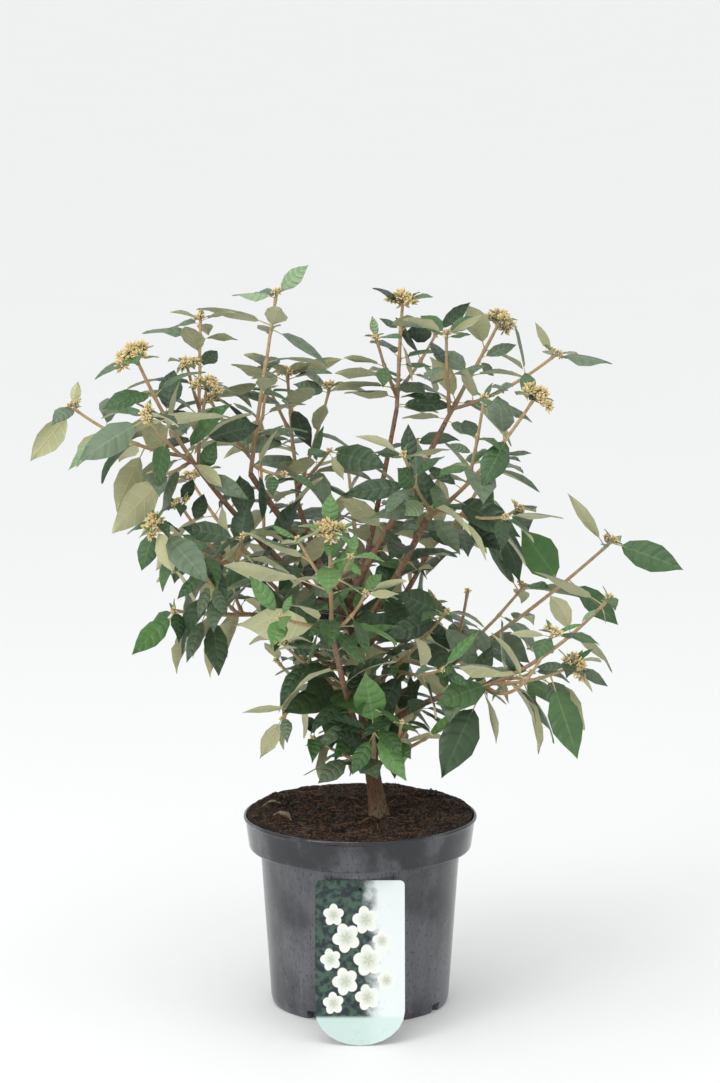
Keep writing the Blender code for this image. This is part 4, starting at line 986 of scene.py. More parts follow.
        Seen(0, 0.95, 1.6, 33.4, -10, "up", "fresh", 1.1),
        Seen(1, 0.60, 5.7, 27.7, -11, "front", "mid", 1.0),
        Seen(1, 0.40, 3.9, 25.4, -8, "front", "deep", 1.2),
    )),
    "spray_low_front": Mass(0.19, 0.60, (
        Shoot(None, 0.0, (1.5, -8.0, 33.2), 0.02, 3, 7.8, 4),
        Shoot(0, 0.30, (-5.2, -5.5, 31.5), 0.05, 3, 7.2, 4),
    ), (
        Seen(0, 0.93, 5.2, 25.2, -10, "front", "fresh", 1.0),
        Seen(0, 0.88, -0.9, 25.9, -9, "front", "mid", 1.1),
        Seen(1, 0.40, -4.7, 24.9, -8, "front", "dull_and_sheen", 1.0),
        Seen(0, 0.98, 0.6, 37.7, -11, "front", "fresh", 1.2),
        Seen(0, 0.90, -3.7, 32.4, -7, "front", "deep", 1.0),
        Seen(0, 0.60, -2.9, 30.9, -8, "front", "deep", 0.8),
    )),
    "spray_low_back": Mass(0.22, 0.60, (
        Shoot(None, 0.0, (7.0, 8.0, 32.0), 0.04, 3, 7.6, 4),
    )),
}

# Where the crown is open: x and z from and to, in cm, as seen from the front. The last one keeps
# the space under the crown clear.
GAPS = [
    (8.7, 44.6, 17.2, 50.3), (19.5, 54.0, 30.0, 71.5), (13.8, 24.0, 19.4, 33.5), (25.2, 24.0, 37.0, 35.5),
    (-8.5, 73.7, 1.0, 84.0), (-15.8, 69.5, -12.2, 77.0), (-37.0, 30.0, -25.6, 53.0),
    (-26.0, 24.0, -9.2, 36.8), (-14.0, 36.0, -9.8, 40.3), (5.9, 24.0, 8.9, 29.8), (10.6, 67.0, 13.4, 70.4),
    (10.3, 72.5, 13.3, 75.2), (22.4, 46.5, 27.0, 53.0), (-37.0, 70.6, -29.6, 84.0),
    (-29.6, 76.0, -21.0, 84.0), (17.5, 74.0, 30.0, 84.0), (-40.0, 0.0, 40.0, 24.4),
]
print(len(BOUGHS), "boughs carry or stand beside", len(FOLIAGE), "masses of foliage")


# %% Limbs
class Limb:
    """A tapering limb on one bend: a quadratic curve from its start to its tip. It sags or rises
    in its own upright plane, so one level direction lies across all of it."""

    def __init__(self, start, tip, bow, radii, flare=0.0, foot=None):
        self.start = start
        self.tip = tip
        self.sag = bow * np.linalg.norm(tip - start)
        self.bend = (start + tip) / 2 - 2 * self.sag * UP
        self.across = sideways(tip - start)
        self.radii = radii
        self.flare = flare
        self.foot = foot  # the direction that its first ring faces, where it isn't the curve's

    def point(self, share):
        return curve(self.start, self.bend, self.tip, share)

    def tangent(self, share):
        s = np.asarray(share)[..., None]
        return unit((1 - s) * (self.bend - self.start) + s * (self.tip - self.bend))

    def radius(self, share):
        root, tip = self.radii
        return root + (tip - root) * share + self.flare * np.exp(-share / FLARE_SHARE)

    def rings(self, shares, sides):
        """Rings of points round the limb, as the plain model has them."""
        along = self.tangent(shares)
        if self.foot is not None:
            along[0] = self.foot
        across = unit(self.across - along * (along @ self.across)[:, None])
        other = np.cross(along, across)
        turn = (np.arange(sides) * 2 * math.pi / sides)[:, None]
        outward = np.cos(turn) * across[:, None] + np.sin(turn) * other[:, None]
        return self.point(shares)[:, None] + self.radius(shares)[:, None, None] * outward


def start_on_trunk(share, tip):
    """A place inside the trunk, on the side that faces the tip."""
    reach = tip - trunk.point(share)
    outward = unit(reach * [1.0, 1.0, 0.0])
    return trunk.point(share) + 0.35 * trunk.radius(share) * outward


def plan_shoots(mass):
    """The stem of a mass, from its bough's tip or out of the trunk, and then its side shoots."""
    limbs = []
    for shoot in mass.shoots:
        tip = np.array(shoot.tip) * CM
        if shoot.parent is not None:
            start = limbs[shoot.parent].point(shoot.share)
            limbs.append(Limb(start, tip, shoot.bow, SIDE_RADII))
        elif mass.carrier in boughs:
            heading = boughs[mass.carrier].tangent(1.0)
            start = boughs[mass.carrier].tip + GAP * heading
            limbs.append(Limb(start, tip, shoot.bow, STEM_RADII, foot=heading))
        else:
            start = start_on_trunk(mass.carrier, tip)
            limbs.append(Limb(start, tip, shoot.bow, STEM_RADII))
    return limbs


trunk = Limb(TRUNK_FOOT, TRUNK_TOP, TRUNK_BOW, TRUNK_RADII, FLARE, foot=UP)
boughs = {}
for name, row in BOUGHS.items():
    tip = np.array(row.tip) * CM
    boughs[name] = Limb(start_on_trunk(row.share, tip), tip, row.bow, [r * MM for r in row.radii])
plans = {name: plan_shoots(mass) for name, mass in FOLIAGE.items()}
print(sum(len(limbs) for limbs in plans.values()), "shoots are planned")


# %% Leaves by rule
def on_sight_line(point, y):
    """The point at depth y that the camera sees where it sees the given point: a camera at C sees
    it anywhere on C + t (point - C)."""
    eye = np.array(CAMERA_PLACE)
    return eye + (y - eye[1]) / (point[1] - eye[1]) * (point - eye)


class Leaf:
    """A leaf on one bend: its stalk starts in its shoot, and its midrib arches over to its tip."""

    def __init__(self, root, bend, tip, face, tint=None, width=1.0):
        self.root = root
        self.bend = bend
        self.tip = tip
        self.length = np.linalg.norm(tip - root)
        self.side = unit(np.cross(tip - root, face))
        self.tint = tint
        self.stalk = max(STALK_SHARE, 1 - LONGEST_BLADE / self.length)
        self.width = width * (1 - self.stalk) / (1 - STALK_SHARE)

    def normal(self, share):
        along = (1 - share) * (self.bend - self.root) + share * (self.tip - self.bend)
        return unit(np.cross(self.side, along))


def placed_leaf(limb, place):
    """A leaf that stands out in the photograph, arched towards its upper face."""
    tip = on_sight_line(np.array([place.x, 0.0, place.z]) * CM, place.y * CM)
    middle = limb.point(place.share)
    root = middle + ROOT_STEP * unit(tip - middle)
    face = FACES[place.face]
    side = unit(np.cross(tip - root, face))
    rise = LEAF_ARCH * np.cross(side, tip - root)
    return Leaf(root, (root + tip) / 2 + rise, tip, face, place.tint, PLACED_WIDTH * place.width)


def paired_leaf(limb, shoot, share, turn, size, droop, disorder):
    """A leaf that leaves its shoot outwards and a little forwards, and gives way to gravity."""
    along = limb.tangent(share)
    outward = math.cos(turn) * limb.across + math.sin(turn) * np.cross(along, limb.across)
    heading = unit(outward + (0.45 + 0.3 * disorder[0]) * along)
    length = shoot.leaf * CM * size * (1 + 0.35 * disorder[1])
    hang = max(0.05, droop * (1.25 - 0.5 * share) * (1 + 0.8 * disorder[0]))
    root = limb.point(share) + ROOT_STEP * outward
    tip = root + length * unit(heading - hang * UP)
    bend = root + 0.5 * length * unit(heading + 0.1 * UP)
    roll = 1.3 * disorder[2]
    face = math.cos(roll) * UP + math.sin(roll) * unit(np.cross(tip - root, UP))
    return Leaf(root, bend, tip, face)


def leaf_choices(limbs, mass, rng):
    """For each leaf by rule in a mass, its pair and the positions to try for it, the best first."""
    for limb, shoot in zip(limbs, mass.shoots):
        first = FIRST_PAIR if shoot.pairs > 1 else LAST_PAIR
        for pair, share in enumerate(np.linspace(LAST_PAIR, first, shoot.pairs)):
            for start in (0.0, math.pi):
                disorder = rng.normal(0.0, JITTER, 4)
                turn = start + pair * math.pi / 2 + disorder[3]
                size = PAIR_SIZES[min(pair, len(PAIR_SIZES) - 1)]
                yield pair, [
                    paired_leaf(limb, shoot, share, turn + extra, size, mass.droop, disorder)
                    for extra in LEAF_TRIES
                ]


# %% [markdown]
# ## Room for each leaf
#
# A leaf by rule is kept only where nothing else stands, where it hides no leaf that is listed in the
# tables, and where it leaves the gaps in the crown open. The last two are judged from the camera, so
# they shape the photographed side. Leaves listed in the crown's tables aren't tested and may touch a
# neighbour, and so may the small ones under a bud head and the dry ones on the peat. The tests need
# only rough shapes: a keeled blade of seven points, three-sided shoots and a ball of twenty faces for a
# bud head. Blender's BVH tree tells quickly whether two such shapes cut each other, or whether a line
# of sight meets one.

# %% Rough shapes to test for room
def rough_limb(limb, sides, rings):
    points = limb.rings(np.linspace(0.0, 1.0, rings), sides).reshape(-1, 3)
    index = np.arange(rings * sides).reshape(rings, sides)
    return points, [*grid_faces(index, closed=True).tolist(), index[0][::-1].tolist(), index[-1].tolist()]


def rough_shoot(limb):
    stretches = max(2, math.ceil(math.sqrt(abs(limb.sag) / CHORD_ERROR)))
    return rough_limb(limb, 3, stretches + 1)


def rough_leaf(leaf, swell=0.0, first=0.0):
    half_width = LEAF_WIDTH * leaf.length / 2
    first_width = STALK_RADIUS + (half_width - STALK_RADIUS) * first / LEAF_WIDEST
    points = []
    for share, across, deep in (
        (first, first_width, 2 * STALK_RADIUS),
        (LEAF_WIDEST, half_width, LEAF_THICKNESS * leaf.length),
    ):
        middle = curve(leaf.root, leaf.bend, leaf.tip, share)
        lift = leaf.normal(share) * (deep / 2 + swell)
        reach = leaf.side * (across + swell)
        points += [middle + lift + reach, middle + lift - reach, middle - lift]
    points.append(leaf.tip + swell * unit(leaf.tip - leaf.bend))
    return points, [(0, 1, 2), (0, 3, 4, 1), (3, 6, 4), (1, 4, 5, 2), (4, 6, 5), (2, 5, 3, 0), (5, 6, 3)]


def rough_bud(limb, radius):
    ball = bmesh.new()
    bmesh.ops.create_icosphere(ball, subdivisions=1, radius=radius)
    turn = Vector(limb.tangent(1.0)).to_track_quat("Z", "Y").to_matrix().to_4x4()
    flatten = Matrix.Diagonal((1.0, 1.0, BUD_FLATNESS, 1.0))
    bmesh.ops.transform(ball, verts=ball.verts, matrix=Matrix.Translation(limb.tip) @ turn @ flatten)
    shape = [vert.co.copy() for vert in ball.verts], [[vert.index for vert in f.verts] for f in ball.faces]
    ball.free()
    return shape


def tree_of(shape):
    return BVHTree.FromPolygons([Vector(point) for point in shape[0]], shape[1])


def node_tree_of(name):
    mesh = frame["nodes"][name].data
    return tree_of(([vert.co for vert in mesh.vertices], [list(face.vertices) for face in mesh.polygons]))


def clear_of(shape, others):
    tree = tree_of(shape)
    return not any(tree.overlap(other) for other in others)


def spur_choices(limb, rng):
    """For each leaf by rule along a bough, or along the trunk, the positions to try for it."""
    shares = np.arange(*SPUR_SHARES, SPUR_STEP / np.linalg.norm(limb.tip - limb.start))
    for pair, share in enumerate(shares[limb.point(shares)[:, 2] < SPUR_TOP]):
        for start in (0.0, math.pi):
            disorder = rng.normal(0.0, JITTER, 4)
            turn = start + pair * math.pi / 2 + disorder[3]
            yield [paired_leaf(limb, SPUR, share, turn + extra, size, SPUR_DROOP, disorder)
                   for size in SPUR_SIZES for extra in LEAF_TRIES]


def bracts(limb, shoot, rng):
    """The small narrow leaves under a bud head, spread round it by the golden angle."""
    along = limb.tangent(1.0)
    for number in range(6 if shoot.bud > BIG_HEAD else 3):
        turn = number * GOLDEN_ANGLE + rng.normal(0.0, 0.3)
        outward = math.cos(turn) * limb.across + math.sin(turn) * np.cross(along, limb.across)
        length = rng.uniform(1.0, 1.5) * (0.9 + shoot.bud / 16) * CM
        heading = unit(outward + rng.uniform(-0.1, 0.7) * along)
        root = limb.tip - 0.3 * shoot.bud * MM * along
        tip = root + length * heading
        bend = root + 0.55 * length * unit(heading + 0.4 * along)
        tint = "fresh" if number % 3 else "dull_and_sheen"
        yield Leaf(root, bend, tip, along + 0.2 * outward, tint, rng.uniform(0.55, 0.95))


def in_gap(point):
    """Whether the camera sees a point in one of the crown's gaps."""
    x, _, z = on_sight_line(point, 0.0) / CM
    return any(left < x < right and low < z < high for left, low, right, high in GAPS)


def hides(tree, leaf):
    """Whether a shape stands before a leaf, where three spots of its blade are seen."""
    eye = Vector(CAMERA_PLACE)
    spots = [Vector(curve(leaf.root, leaf.bend, leaf.tip, share)) for share in (0.35, 0.6, 0.85)]
    return any(tree.ray_cast(eye, (spot - eye).normalized(), (spot - eye).length)[0] for spot in spots)


def first_that_suits(choices, others, near, placed):
    """The first leaf that keeps out of the gaps, stands clear and hides no placed leaf, and its tree.
    The whole leaf has to be clear of the others, and its blade of what stands near its stalk too."""
    for leaf in choices:
        middle = curve(leaf.root, leaf.bend, leaf.tip, 0.6)
        if in_gap(middle) or in_gap(leaf.tip):
            continue
        whole = rough_leaf(leaf, swell=CLEAR)
        blade = rough_leaf(leaf, swell=CLEAR, first=STALK_SHARE)
        if clear_of(whole, others) and clear_of(blade, near):
            tree = tree_of(rough_leaf(leaf))
            if not any(hides(tree, other) for other in placed):
                return leaf, tree
    return None, None


def grow_leaves():
    """The listed leaves, and then those by rule, each in the first position that suits."""
    wood = [node_tree_of(name) for name in ("pot", "soil", "plant_tag")]
    wood.append(tree_of(rough_limb(trunk, 12, 11)))
    wood += [tree_of(rough_limb(bough, 6, 6)) for bough in boughs.values()]
    taken = {name: [tree_of(rough_shoot(limb)) for limb in limbs] for name, limbs in plans.items()}
    buds = {name: [tree_of(rough_bud(limb, shoot.bud * MM))
                   for limb, shoot in zip(limbs, FOLIAGE[name].shoots) if shoot.bud]
            for name, limbs in plans.items()}
    grown = []

    def keep(leaf, tree, mass, pair, trees):
        if leaf is not None:
            leaf.mass, leaf.pair = mass, pair
            grown.append(leaf)
            trees.append(tree)

    for name, limbs in plans.items():
        for place in FOLIAGE[name].leaves:
            leaf = placed_leaf(limbs[place.shoot], place)
            keep(leaf, tree_of(rough_leaf(leaf)), name, 0, taken[name])
    placed = list(grown)
    for number, (name, limbs) in enumerate(plans.items()):
        rng = np.random.default_rng(SEED + number)
        others = wood + [tree for key in plans if key != name for tree in taken[key] + buds[key]]
        for pair, choices in leaf_choices(limbs, FOLIAGE[name], rng):
            keep(*first_that_suits(choices, others, taken[name], placed), name, pair, taken[name])
    near = wood + [tree for key in plans for tree in taken[key] + buds[key]]
    rng = np.random.default_rng(SEED)
    for limb in [trunk, *boughs.values()]:
        for choices in spur_choices(limb, rng):
            keep(*first_that_suits(choices, [], near, placed), "spur", 1, near)
    for name, limbs in plans.items():
        for limb, shoot in zip(limbs, FOLIAGE[name].shoots):
            grown += list(bracts(limb, shoot, rng)) if shoot.bud > HEAD_WITH_BRACTS else []
    for root, bend, tip in DEAD_LEAVES:
        spots = [np.array(spot) * CM for spot in (root, bend, tip)]
        grown.append(Leaf(*spots, UP, "dry", 1.1))
    return grown, len(placed)


GOLDEN_ANGLE = math.pi * (3 - math.sqrt(5))
BIG_HEAD, MIDDLE_HEAD, HEAD_WITH_BRACTS = 11, 7.5, 5  # a head is larger than this, in mm
SPUR_STEP, SPUR_TOP, SPUR_SHARES = 2.3 * CM, 57 * CM, (0.26, 0.97)
SPUR_DROOP, SPUR_SIZES = 0.35, (1.0, 0.75, 0.55)
SPUR = Shoot(None, 0.0, None, 0.0, 1, 6.6, 0)
DEAD_LEAVES = [  # root, bend and tip in cm, on the peat
    ((-10.9, 1.9, 21.9), (-10.0, 2.3, 22.7), (-8.9, 1.8, 22.2)),
    ((-9.6, -2.0, 21.8), (-8.7, -3.2, 22.9), (-7.6, -4.2, 21.7)),
]
leaves, placed_count = grow_leaves()
print(placed_count, "leaves are placed by hand. More by rule, small or dry:", len(leaves) - placed_count)

# %% [markdown]
# ## Bark
#
# The trunk's bark is grey-brown and finely fissured, and its foot flares into the peat. Relief like
# this could be a texture, but real displacement holds up in any light.
# Each ring's radius is lifted by noise that is stretched along the limb, which draws the fissures.
# Boughs are smoother and redder, and swell where they leave the trunk.

# %% Wood
def limb_tube(limb, rings, sides, ridge, collar=0.0):
    """A limb as a closed tube whose radius is r (1 + collar) + ridge * noise, where the noise is
    read on the limb's own skin, several times longer along the limb than round it."""
    shares = np.linspace(0.0, 1.0, rings)
    turn = np.arange(sides) * 2 * math.pi / sides
    radius = limb.radius(shares)[:, None]
    length = np.linalg.norm(limb.tip - limb.start)
    skin = np.stack(np.broadcast_arrays(
        radius * np.cos(turn), radius * np.sin(turn), shares[:, None] * length), axis=-1)
    fissures = -np.abs(noise(skin, np.array([2.2, 2.2, 14.0]) * MM, 11))
    lumps = noise(skin, np.array([6.0, 6.0, 11.0]) * MM, 12) + 0.5 * noise(skin, 1.6 * MM, 13)
    swell = (1 + collar * np.exp(-shares / 0.04))[:, None]
    radii = radius * swell + ridge * (1.4 * fissures + 0.8 * lumps)
    return tube_points(limb.point(shares)[None], radii[None], limb.across[None], sides)[0]


def bark_finish(name, fresh, old, fissure, scale):
    """Bark with long fissures: dark in the cracks, and paler where the ridges have weathered."""
    bark = Finish(name, Specular_IOR_Level=0.3)
    ridges = bark.grain(scale, (1.0, 1.0, 0.25), detail=5.0, rough=0.6)
    patches = bark.grain(55.0, (1.0, 1.0, 0.5), detail=2.0).between(0.4, 0.65)
    colour = bark.mix(patches, fresh, old)
    colour = bark.mix(ridges.between(0.50, 0.36), colour, fissure)
    relief = bark.bump(ridges, 0.0009)
    return bark.finish(Base_Color=colour, Roughness=0.95 - 0.25 * ridges, Normal=relief)


TRUNK_GRID, BOUGH_GRID = (240, 56), (60, 18)  # rings and sides
trunk_bark = bark_finish(
    "trunk_bark", (0.120, 0.062, 0.034), (0.170, 0.122, 0.074), (0.050, 0.026, 0.016), 640.0)
points = limb_tube(trunk, *TRUNK_GRID, 0.55 * MM)
wood = new_object("trunk_bark", points, tube_faces(*TRUNK_GRID, 1), [trunk_bark], crease=180.0)
settle(wood, ["trunk"])
bough_bark = bark_finish(
    "bough_bark", (0.225, 0.125, 0.076), (0.275, 0.180, 0.118), (0.095, 0.050, 0.032), 600.0)
parts = [limb_tube(bough, *BOUGH_GRID, 0.16 * MM, collar=0.35) for bough in boughs.values()]
tubes = tube_faces(*BOUGH_GRID, len(boughs))
wood = new_object("boughs", np.concatenate(parts), tubes, [bough_bark], crease=180.0)
settle(wood, list(boughs))

# %% [markdown]
# ## Shoots
#
# A shoot is straight between its joints and swells a little at each pair of leaves, where the next
# stalks stand. It ripens from the base: red-brown wood below, tan felt at the tip. The colour
# follows the share of the length, which each point of the mesh carries as its mark.

# %% Shoot tubes
SHOOT_RINGS, SHOOT_SIDES = 44, 8


def shoot_tube(limb, shoot, number):
    """A shoot whose radius swells by a third at each pair of leaves, over about 3 mm."""
    shares = np.linspace(0.0, 1.0, SHOOT_RINGS)
    first = FIRST_PAIR if shoot.pairs > 1 else LAST_PAIR
    joints = np.linspace(LAST_PAIR, first, shoot.pairs)
    length = np.linalg.norm(limb.tip - limb.start)
    off = (shares[:, None] - joints) * length / (2.6 * MM)
    swell = 1 + 0.34 * np.exp(-(off**2)).sum(axis=1)
    path = limb.point(shares)
    wobble = noise(path, 2.3 * CM, number) * 0.9 * MM * np.sin(math.pi * shares)
    path = path + wobble[:, None] * limb.across
    radii = limb.radius(shares) * swell * (1 + 0.06 * noise(path, 3.0 * MM, 7))
    points = tube_points(path[None], radii[None], limb.across[None], SHOOT_SIDES)
    mark = np.zeros((SHOOT_RINGS * SHOOT_SIDES + 2, 3))
    mark[:-2, 0] = np.repeat(shares, SHOOT_SIDES)
    mark[-1, 0] = 1.0
    return points[0], mark


def shoot_finish():
    """Young wood that goes from red-brown at its base to tan felt at its tip."""
    wood = Finish("young_shoot", Specular_IOR_Level=0.35)
    ripe = wood.mark("X")
    streaks = wood.grain(480.0, (1.0, 1.0, 0.4), detail=3.0)
    patches = wood.grain(30.0, detail=2.0).between(0.38, 0.62)
    low = wood.mix(patches, (0.270, 0.155, 0.092), (0.330, 0.225, 0.140))
    high = wood.mix(patches, (0.460, 0.310, 0.160), (0.420, 0.335, 0.185))
    colour = wood.mix(ripe.between(0.05, 0.65), low, high)
    colour = wood.mix(0.4 * streaks.between(0.42, 0.62), colour, (0.200, 0.110, 0.055))
    relief = wood.bump(streaks, 0.0004)
    return wood.finish(Base_Color=colour, Roughness=0.50 + 0.35 * streaks, Normal=relief)


parts = []
for name, limbs in plans.items():
    parts += [shoot_tube(limb, shoot, len(parts)) for limb, shoot in zip(limbs, FOLIAGE[name].shoots)]
points, mark = (np.concatenate(group) for group in zip(*parts))
tubes = tube_faces(SHOOT_RINGS, SHOOT_SIDES, len(parts))
shoots = new_object("shoots", points, tubes, [shoot_finish()], mark=mark, crease=180.0)
settle(shoots, list(FOLIAGE))

# %% [markdown]
# ## The leaf
#
# A viburnum leaf is egg-shaped with a drawn-out point. Six pairs of veins leave the midrib and run
# forwards to small teeth, and the blade bulges between them. It is folded along the midrib, its
# margins curl, and no two leaves do so alike. The top is dark and satiny, the underside pale felt.
#
# Some hundreds of leaves stand here, so a blade is a coarse grid of six rows and five columns.
# That is enough for its outline, its fold, its twist and its waves, while the veins are left to the
# material. The rows lean forwards like the veins. An upper and a lower skin meet at the margin, which
# closes the leaf and gives each side its own material. All leaves are worked out at once, as arrays
# with one entry a leaf.

# %% Blade grid
VEIN_PAIRS = 6
BLADE_ROWS = np.array([0.06, 0.22, 0.42, 0.62, 0.80, 0.93])
BLADE_COLUMNS = np.array([-1.0, -0.55, 0.0, 0.55, 1.0])
VEIN_LEAN = 0.15  # how far a vein runs forwards, as a share of the blade
WIDTH_POWERS = (0.80, 1.02)  # how quickly the outline opens at the base and closes at the tip
BLADE_THICKNESS = 0.42 * MM

rows, columns = len(BLADE_ROWS), len(BLADE_COLUMNS)
upper = np.arange(rows * columns).reshape(rows, columns)
lower = upper.copy()
lower[:, 1:-1] = rows * columns + np.arange(rows * (columns - 2)).reshape(rows, -1)
BLADE_POINTS = rows * columns + rows * (columns - 2) + 2
base_pole, tip_pole = BLADE_POINTS - 2, BLADE_POINTS - 1


def skin_faces(index):
    """Quads between the rows of a skin, and a fan at its base and its tip. They face upwards."""
    first, last = index[0], index[-1]
    poles = np.full(columns - 1, base_pole), np.full(columns - 1, tip_pole)
    low = np.stack([poles[0], first[1:], first[:-1]], axis=-1)
    high = np.stack([last[:-1], last[1:], poles[1]], axis=-1)
    return grid_faces(index), np.concatenate([low, high])


upper_quads, upper_fans = skin_faces(upper)
lower_quads, lower_fans = skin_faces(lower)
UNDERNEATH = [0, 3, 2, 1]  # turns a quad over, and keeps the diagonal along which it is split
BLADE_FACES = [np.concatenate([upper_quads, lower_quads[:, UNDERNEATH]]),
               np.concatenate([upper_fans, lower_fans[:, ::-1]])]
BLADE_SLOTS = np.concatenate([np.repeat([0, 1], len(faces) // 2) for faces in BLADE_FACES])
BLADE_SLOTS = np.split(BLADE_SLOTS, [len(BLADE_FACES[0])])
print("A leaf has", BLADE_POINTS, "points and", sum(len(faces) for faces in BLADE_FACES), "faces")


# %% Blade shape
def outline(share):
    """Half the blade's width as a share of its widest: a^p (1-a)^q, over its own highest value."""
    p, q = WIDTH_POWERS
    peak = p / (p + q)
    drawn_out = 1 - 0.45 * np.clip((share - 0.68) / 0.32, 0.0, 1.0)
    return drawn_out * share**p * (1 - share) ** q / (peak**p * (1 - peak) ** q)


def gathered(grown, *keys):
    """One array for each named part of the leaves, with a row a leaf."""
    return [np.array([getattr(leaf, key) for leaf in grown]) for key in keys]


def blade_points(grown, rng):
    """All the blades at once, as an array of (leaves, points, 3), with the marks of their points.

    At row v and column u, the share along the blade is a = v + lean 4v(1-v)|u|^1.4, and the point
    is midrib(a) + u width(a) sideways. On top of that come the fold |x| sin(fold), the curl
    -c x^2, a wave along each margin and a swell of each half by sin(pi |u|). The blade also twists
    a little about its midrib.
    """
    count = len(grown)
    keys = "root", "bend", "tip", "side", "length", "width", "stalk"
    root, bend, tip, side, length, width, stalk = (
        array[:, None, None] for array in gathered(grown, *keys))

    def spread(low, high):
        return rng.uniform(low, high, count)[:, None, None]

    v = BLADE_ROWS[None, :, None]
    u = BLADE_COLUMNS[None, None, :]
    along = v + VEIN_LEAN * 4 * v * (1 - v) * np.abs(u) ** 1.4
    half = width * LEAF_WIDTH * length / 2 * spread(0.92, 1.10)
    x = u * half * outline(along)
    base = stalk * spread(0.85, 1.1)
    share = base + (1 - base) * along
    middle = curve(root, bend, tip, share)
    tangent = unit((1 - share)[..., None] * (bend - root) + share[..., None] * (tip - bend))
    normal = np.cross(np.broadcast_to(side, tangent.shape), tangent)
    twist = spread(-0.75, 0.75) * (along - 0.35)
    across = np.cos(twist)[..., None] * side + np.sin(twist)[..., None] * normal
    normal = np.cross(across, tangent)
    fold = spread(0.12, 0.62)
    high = spread(0.02, 0.11) * half
    wave = high * np.sin(2 * math.pi * spread(1.0, 2.2) * along + spread(0.0, 6.3) + 1.7 * np.sign(u))
    swell = spread(0.004, 0.016) * length * np.sin(math.pi * np.abs(u))
    rise = np.abs(x) * np.sin(fold) - spread(0.10, 0.55) * x**2 / half + wave * u**2 + swell
    top = middle + across * (x * np.cos(fold))[..., None] + normal * rise[..., None]
    rib = np.where(np.abs(u) < 0.1, 1.9, 1.0)[..., 1:-1] * BLADE_THICKNESS
    low = top[:, :, 1:-1] - normal[:, :, 1:-1] * (rib * np.ones((count, rows, 1)))[..., None]
    ends = [curve(root, bend, tip, base)[:, 0], tip[:, 0]]
    points = np.concatenate([top.reshape(count, -1, 3), low.reshape(count, -1, 3), *ends], axis=1)
    mark = np.stack(np.broadcast_arrays(v, np.abs(u), spread(0.0, 1.0)), axis=-1)
    poles = np.zeros((count, 2, 3))
    poles[:, 1, 0] = 1.0
    poles[:, :, 2] = mark[:, 0, :1, 2]
    inner = mark[:, :, 1:-1].reshape(count, -1, 3)
    return points, np.concatenate([mark.reshape(count, -1, 3), inner, poles], axis=1)


# %% [markdown]
# ## Leaf colours
#
# Seven tints cover the plant: deep blue-green inside the crown, a middle green, a dull grey-green on
# the old upper leaves, a bright green on a few, a fresh green and a pale young one on the newest, and
# the brown of the dry leaves on the peat. The deep tint is dark in part as painted shade, for the inner
# and low leaves where the crown's shade falls. The dull tint's grey is in part the old leaves' own
# weathered colour and in part painted sheen from the light above. A listed leaf has its own tint, and
# any other draws one by its spray. The shader only adds what lies within a leaf: sunken side veins,
# darkened along their grooves as painted shade, and a pale midrib, where the mark says that a point is
# near one, small differences from leaf to leaf, and fine relief.

# %% Leaf finishes
def vein_mask(finish, width):
    """1 on a vein, falling to 0 at the given distance of n v from the nearest whole number."""
    off = abs((VEIN_PAIRS * finish.mark("X") + 0.5).fraction() - 0.5)
    return off.between(width, 0.0)


def upper_finish(name, dark, light, vein):
    """The satin upper side."""
    skin = Finish(f"leaf_top_{name}", Specular_IOR_Level=0.6)
    tone = skin.grain(22.0, detail=2.0).between(0.3, 0.7)
    own = skin.mark("Z")
    aside = skin.mark("Y")
    # Mask of the sunken side veins, for painted shade in their grooves.
    groove_shade = vein_mask(skin, 0.20)
    midrib = aside.between(0.09, 0.03)
    mottle = skin.grain(700.0, detail=2.0)
    colour = skin.mix(0.55 * tone + 0.45 * own, dark, light)
    # Painted shade: the colour goes darker along the grooves of the side veins.
    colour = skin.mix(0.26 * groove_shade, colour, tuple(0.6 * part for part in dark))
    colour = skin.mix(0.30 * vein_mask(skin, 0.05) * (1 - 0.5 * aside) + 0.38 * midrib, colour, vein)
    net = skin.node("ShaderNodeTexVoronoi", {"feature": "DISTANCE_TO_EDGE"},
                    {"Vector": skin.place(), "Scale": 520.0})
    relief = skin.bump(1 - vein_mask(skin, 0.34), 0.0007, skin.bump(mottle, 0.00016))
    relief = skin.bump(net.between(0.0, 0.12), 0.00016, relief)
    return skin.finish(Base_Color=colour, Roughness=0.21 + 0.16 * mottle + 0.08 * tone, Normal=relief)


def under_finish(name, dark, light):
    """The felted underside, with raised veins."""
    felt = Finish(f"leaf_under_{name}", Specular_IOR_Level=0.2, Sheen_Weight=0.25, Sheen_Roughness=0.5)
    tone = felt.grain(26.0, detail=2.0).between(0.3, 0.7)
    midrib = felt.mark("Y").between(0.10, 0.04)
    veins = vein_mask(felt, 0.13)
    veins = veins.reckon("MAXIMUM", veins, midrib)
    fuzz = felt.grain(1100.0, detail=2.0)
    colour = felt.mix(0.5 * tone + 0.5 * felt.mark("Z"), dark, light)
    colour = felt.mix(0.35 * veins, colour, tuple(min(1.0, 1.25 * part) for part in light))
    colour = felt.mix(0.5 * midrib, colour, (0.50, 0.42, 0.22))
    relief = felt.bump(fuzz, 0.00016, felt.bump(veins, 0.00035))
    return felt.finish(Base_Color=colour, Roughness=0.80 + 0.15 * fuzz, Normal=relief)


def rib_finish():
    """The midrib and the stalk: pale, smooth and a little brown in places."""
    rib = Finish("leaf_rib", Specular_IOR_Level=0.35)
    tone = rib.grain(60.0, detail=2.0).between(0.35, 0.65)
    fine = rib.grain(600.0, detail=1.0)
    colour = rib.mix(tone, (0.42, 0.40, 0.20), (0.50, 0.38, 0.21))
    return rib.finish(Base_Color=colour, Roughness=0.5 + 0.2 * fine, Normal=rib.bump(fine, 0.0001))


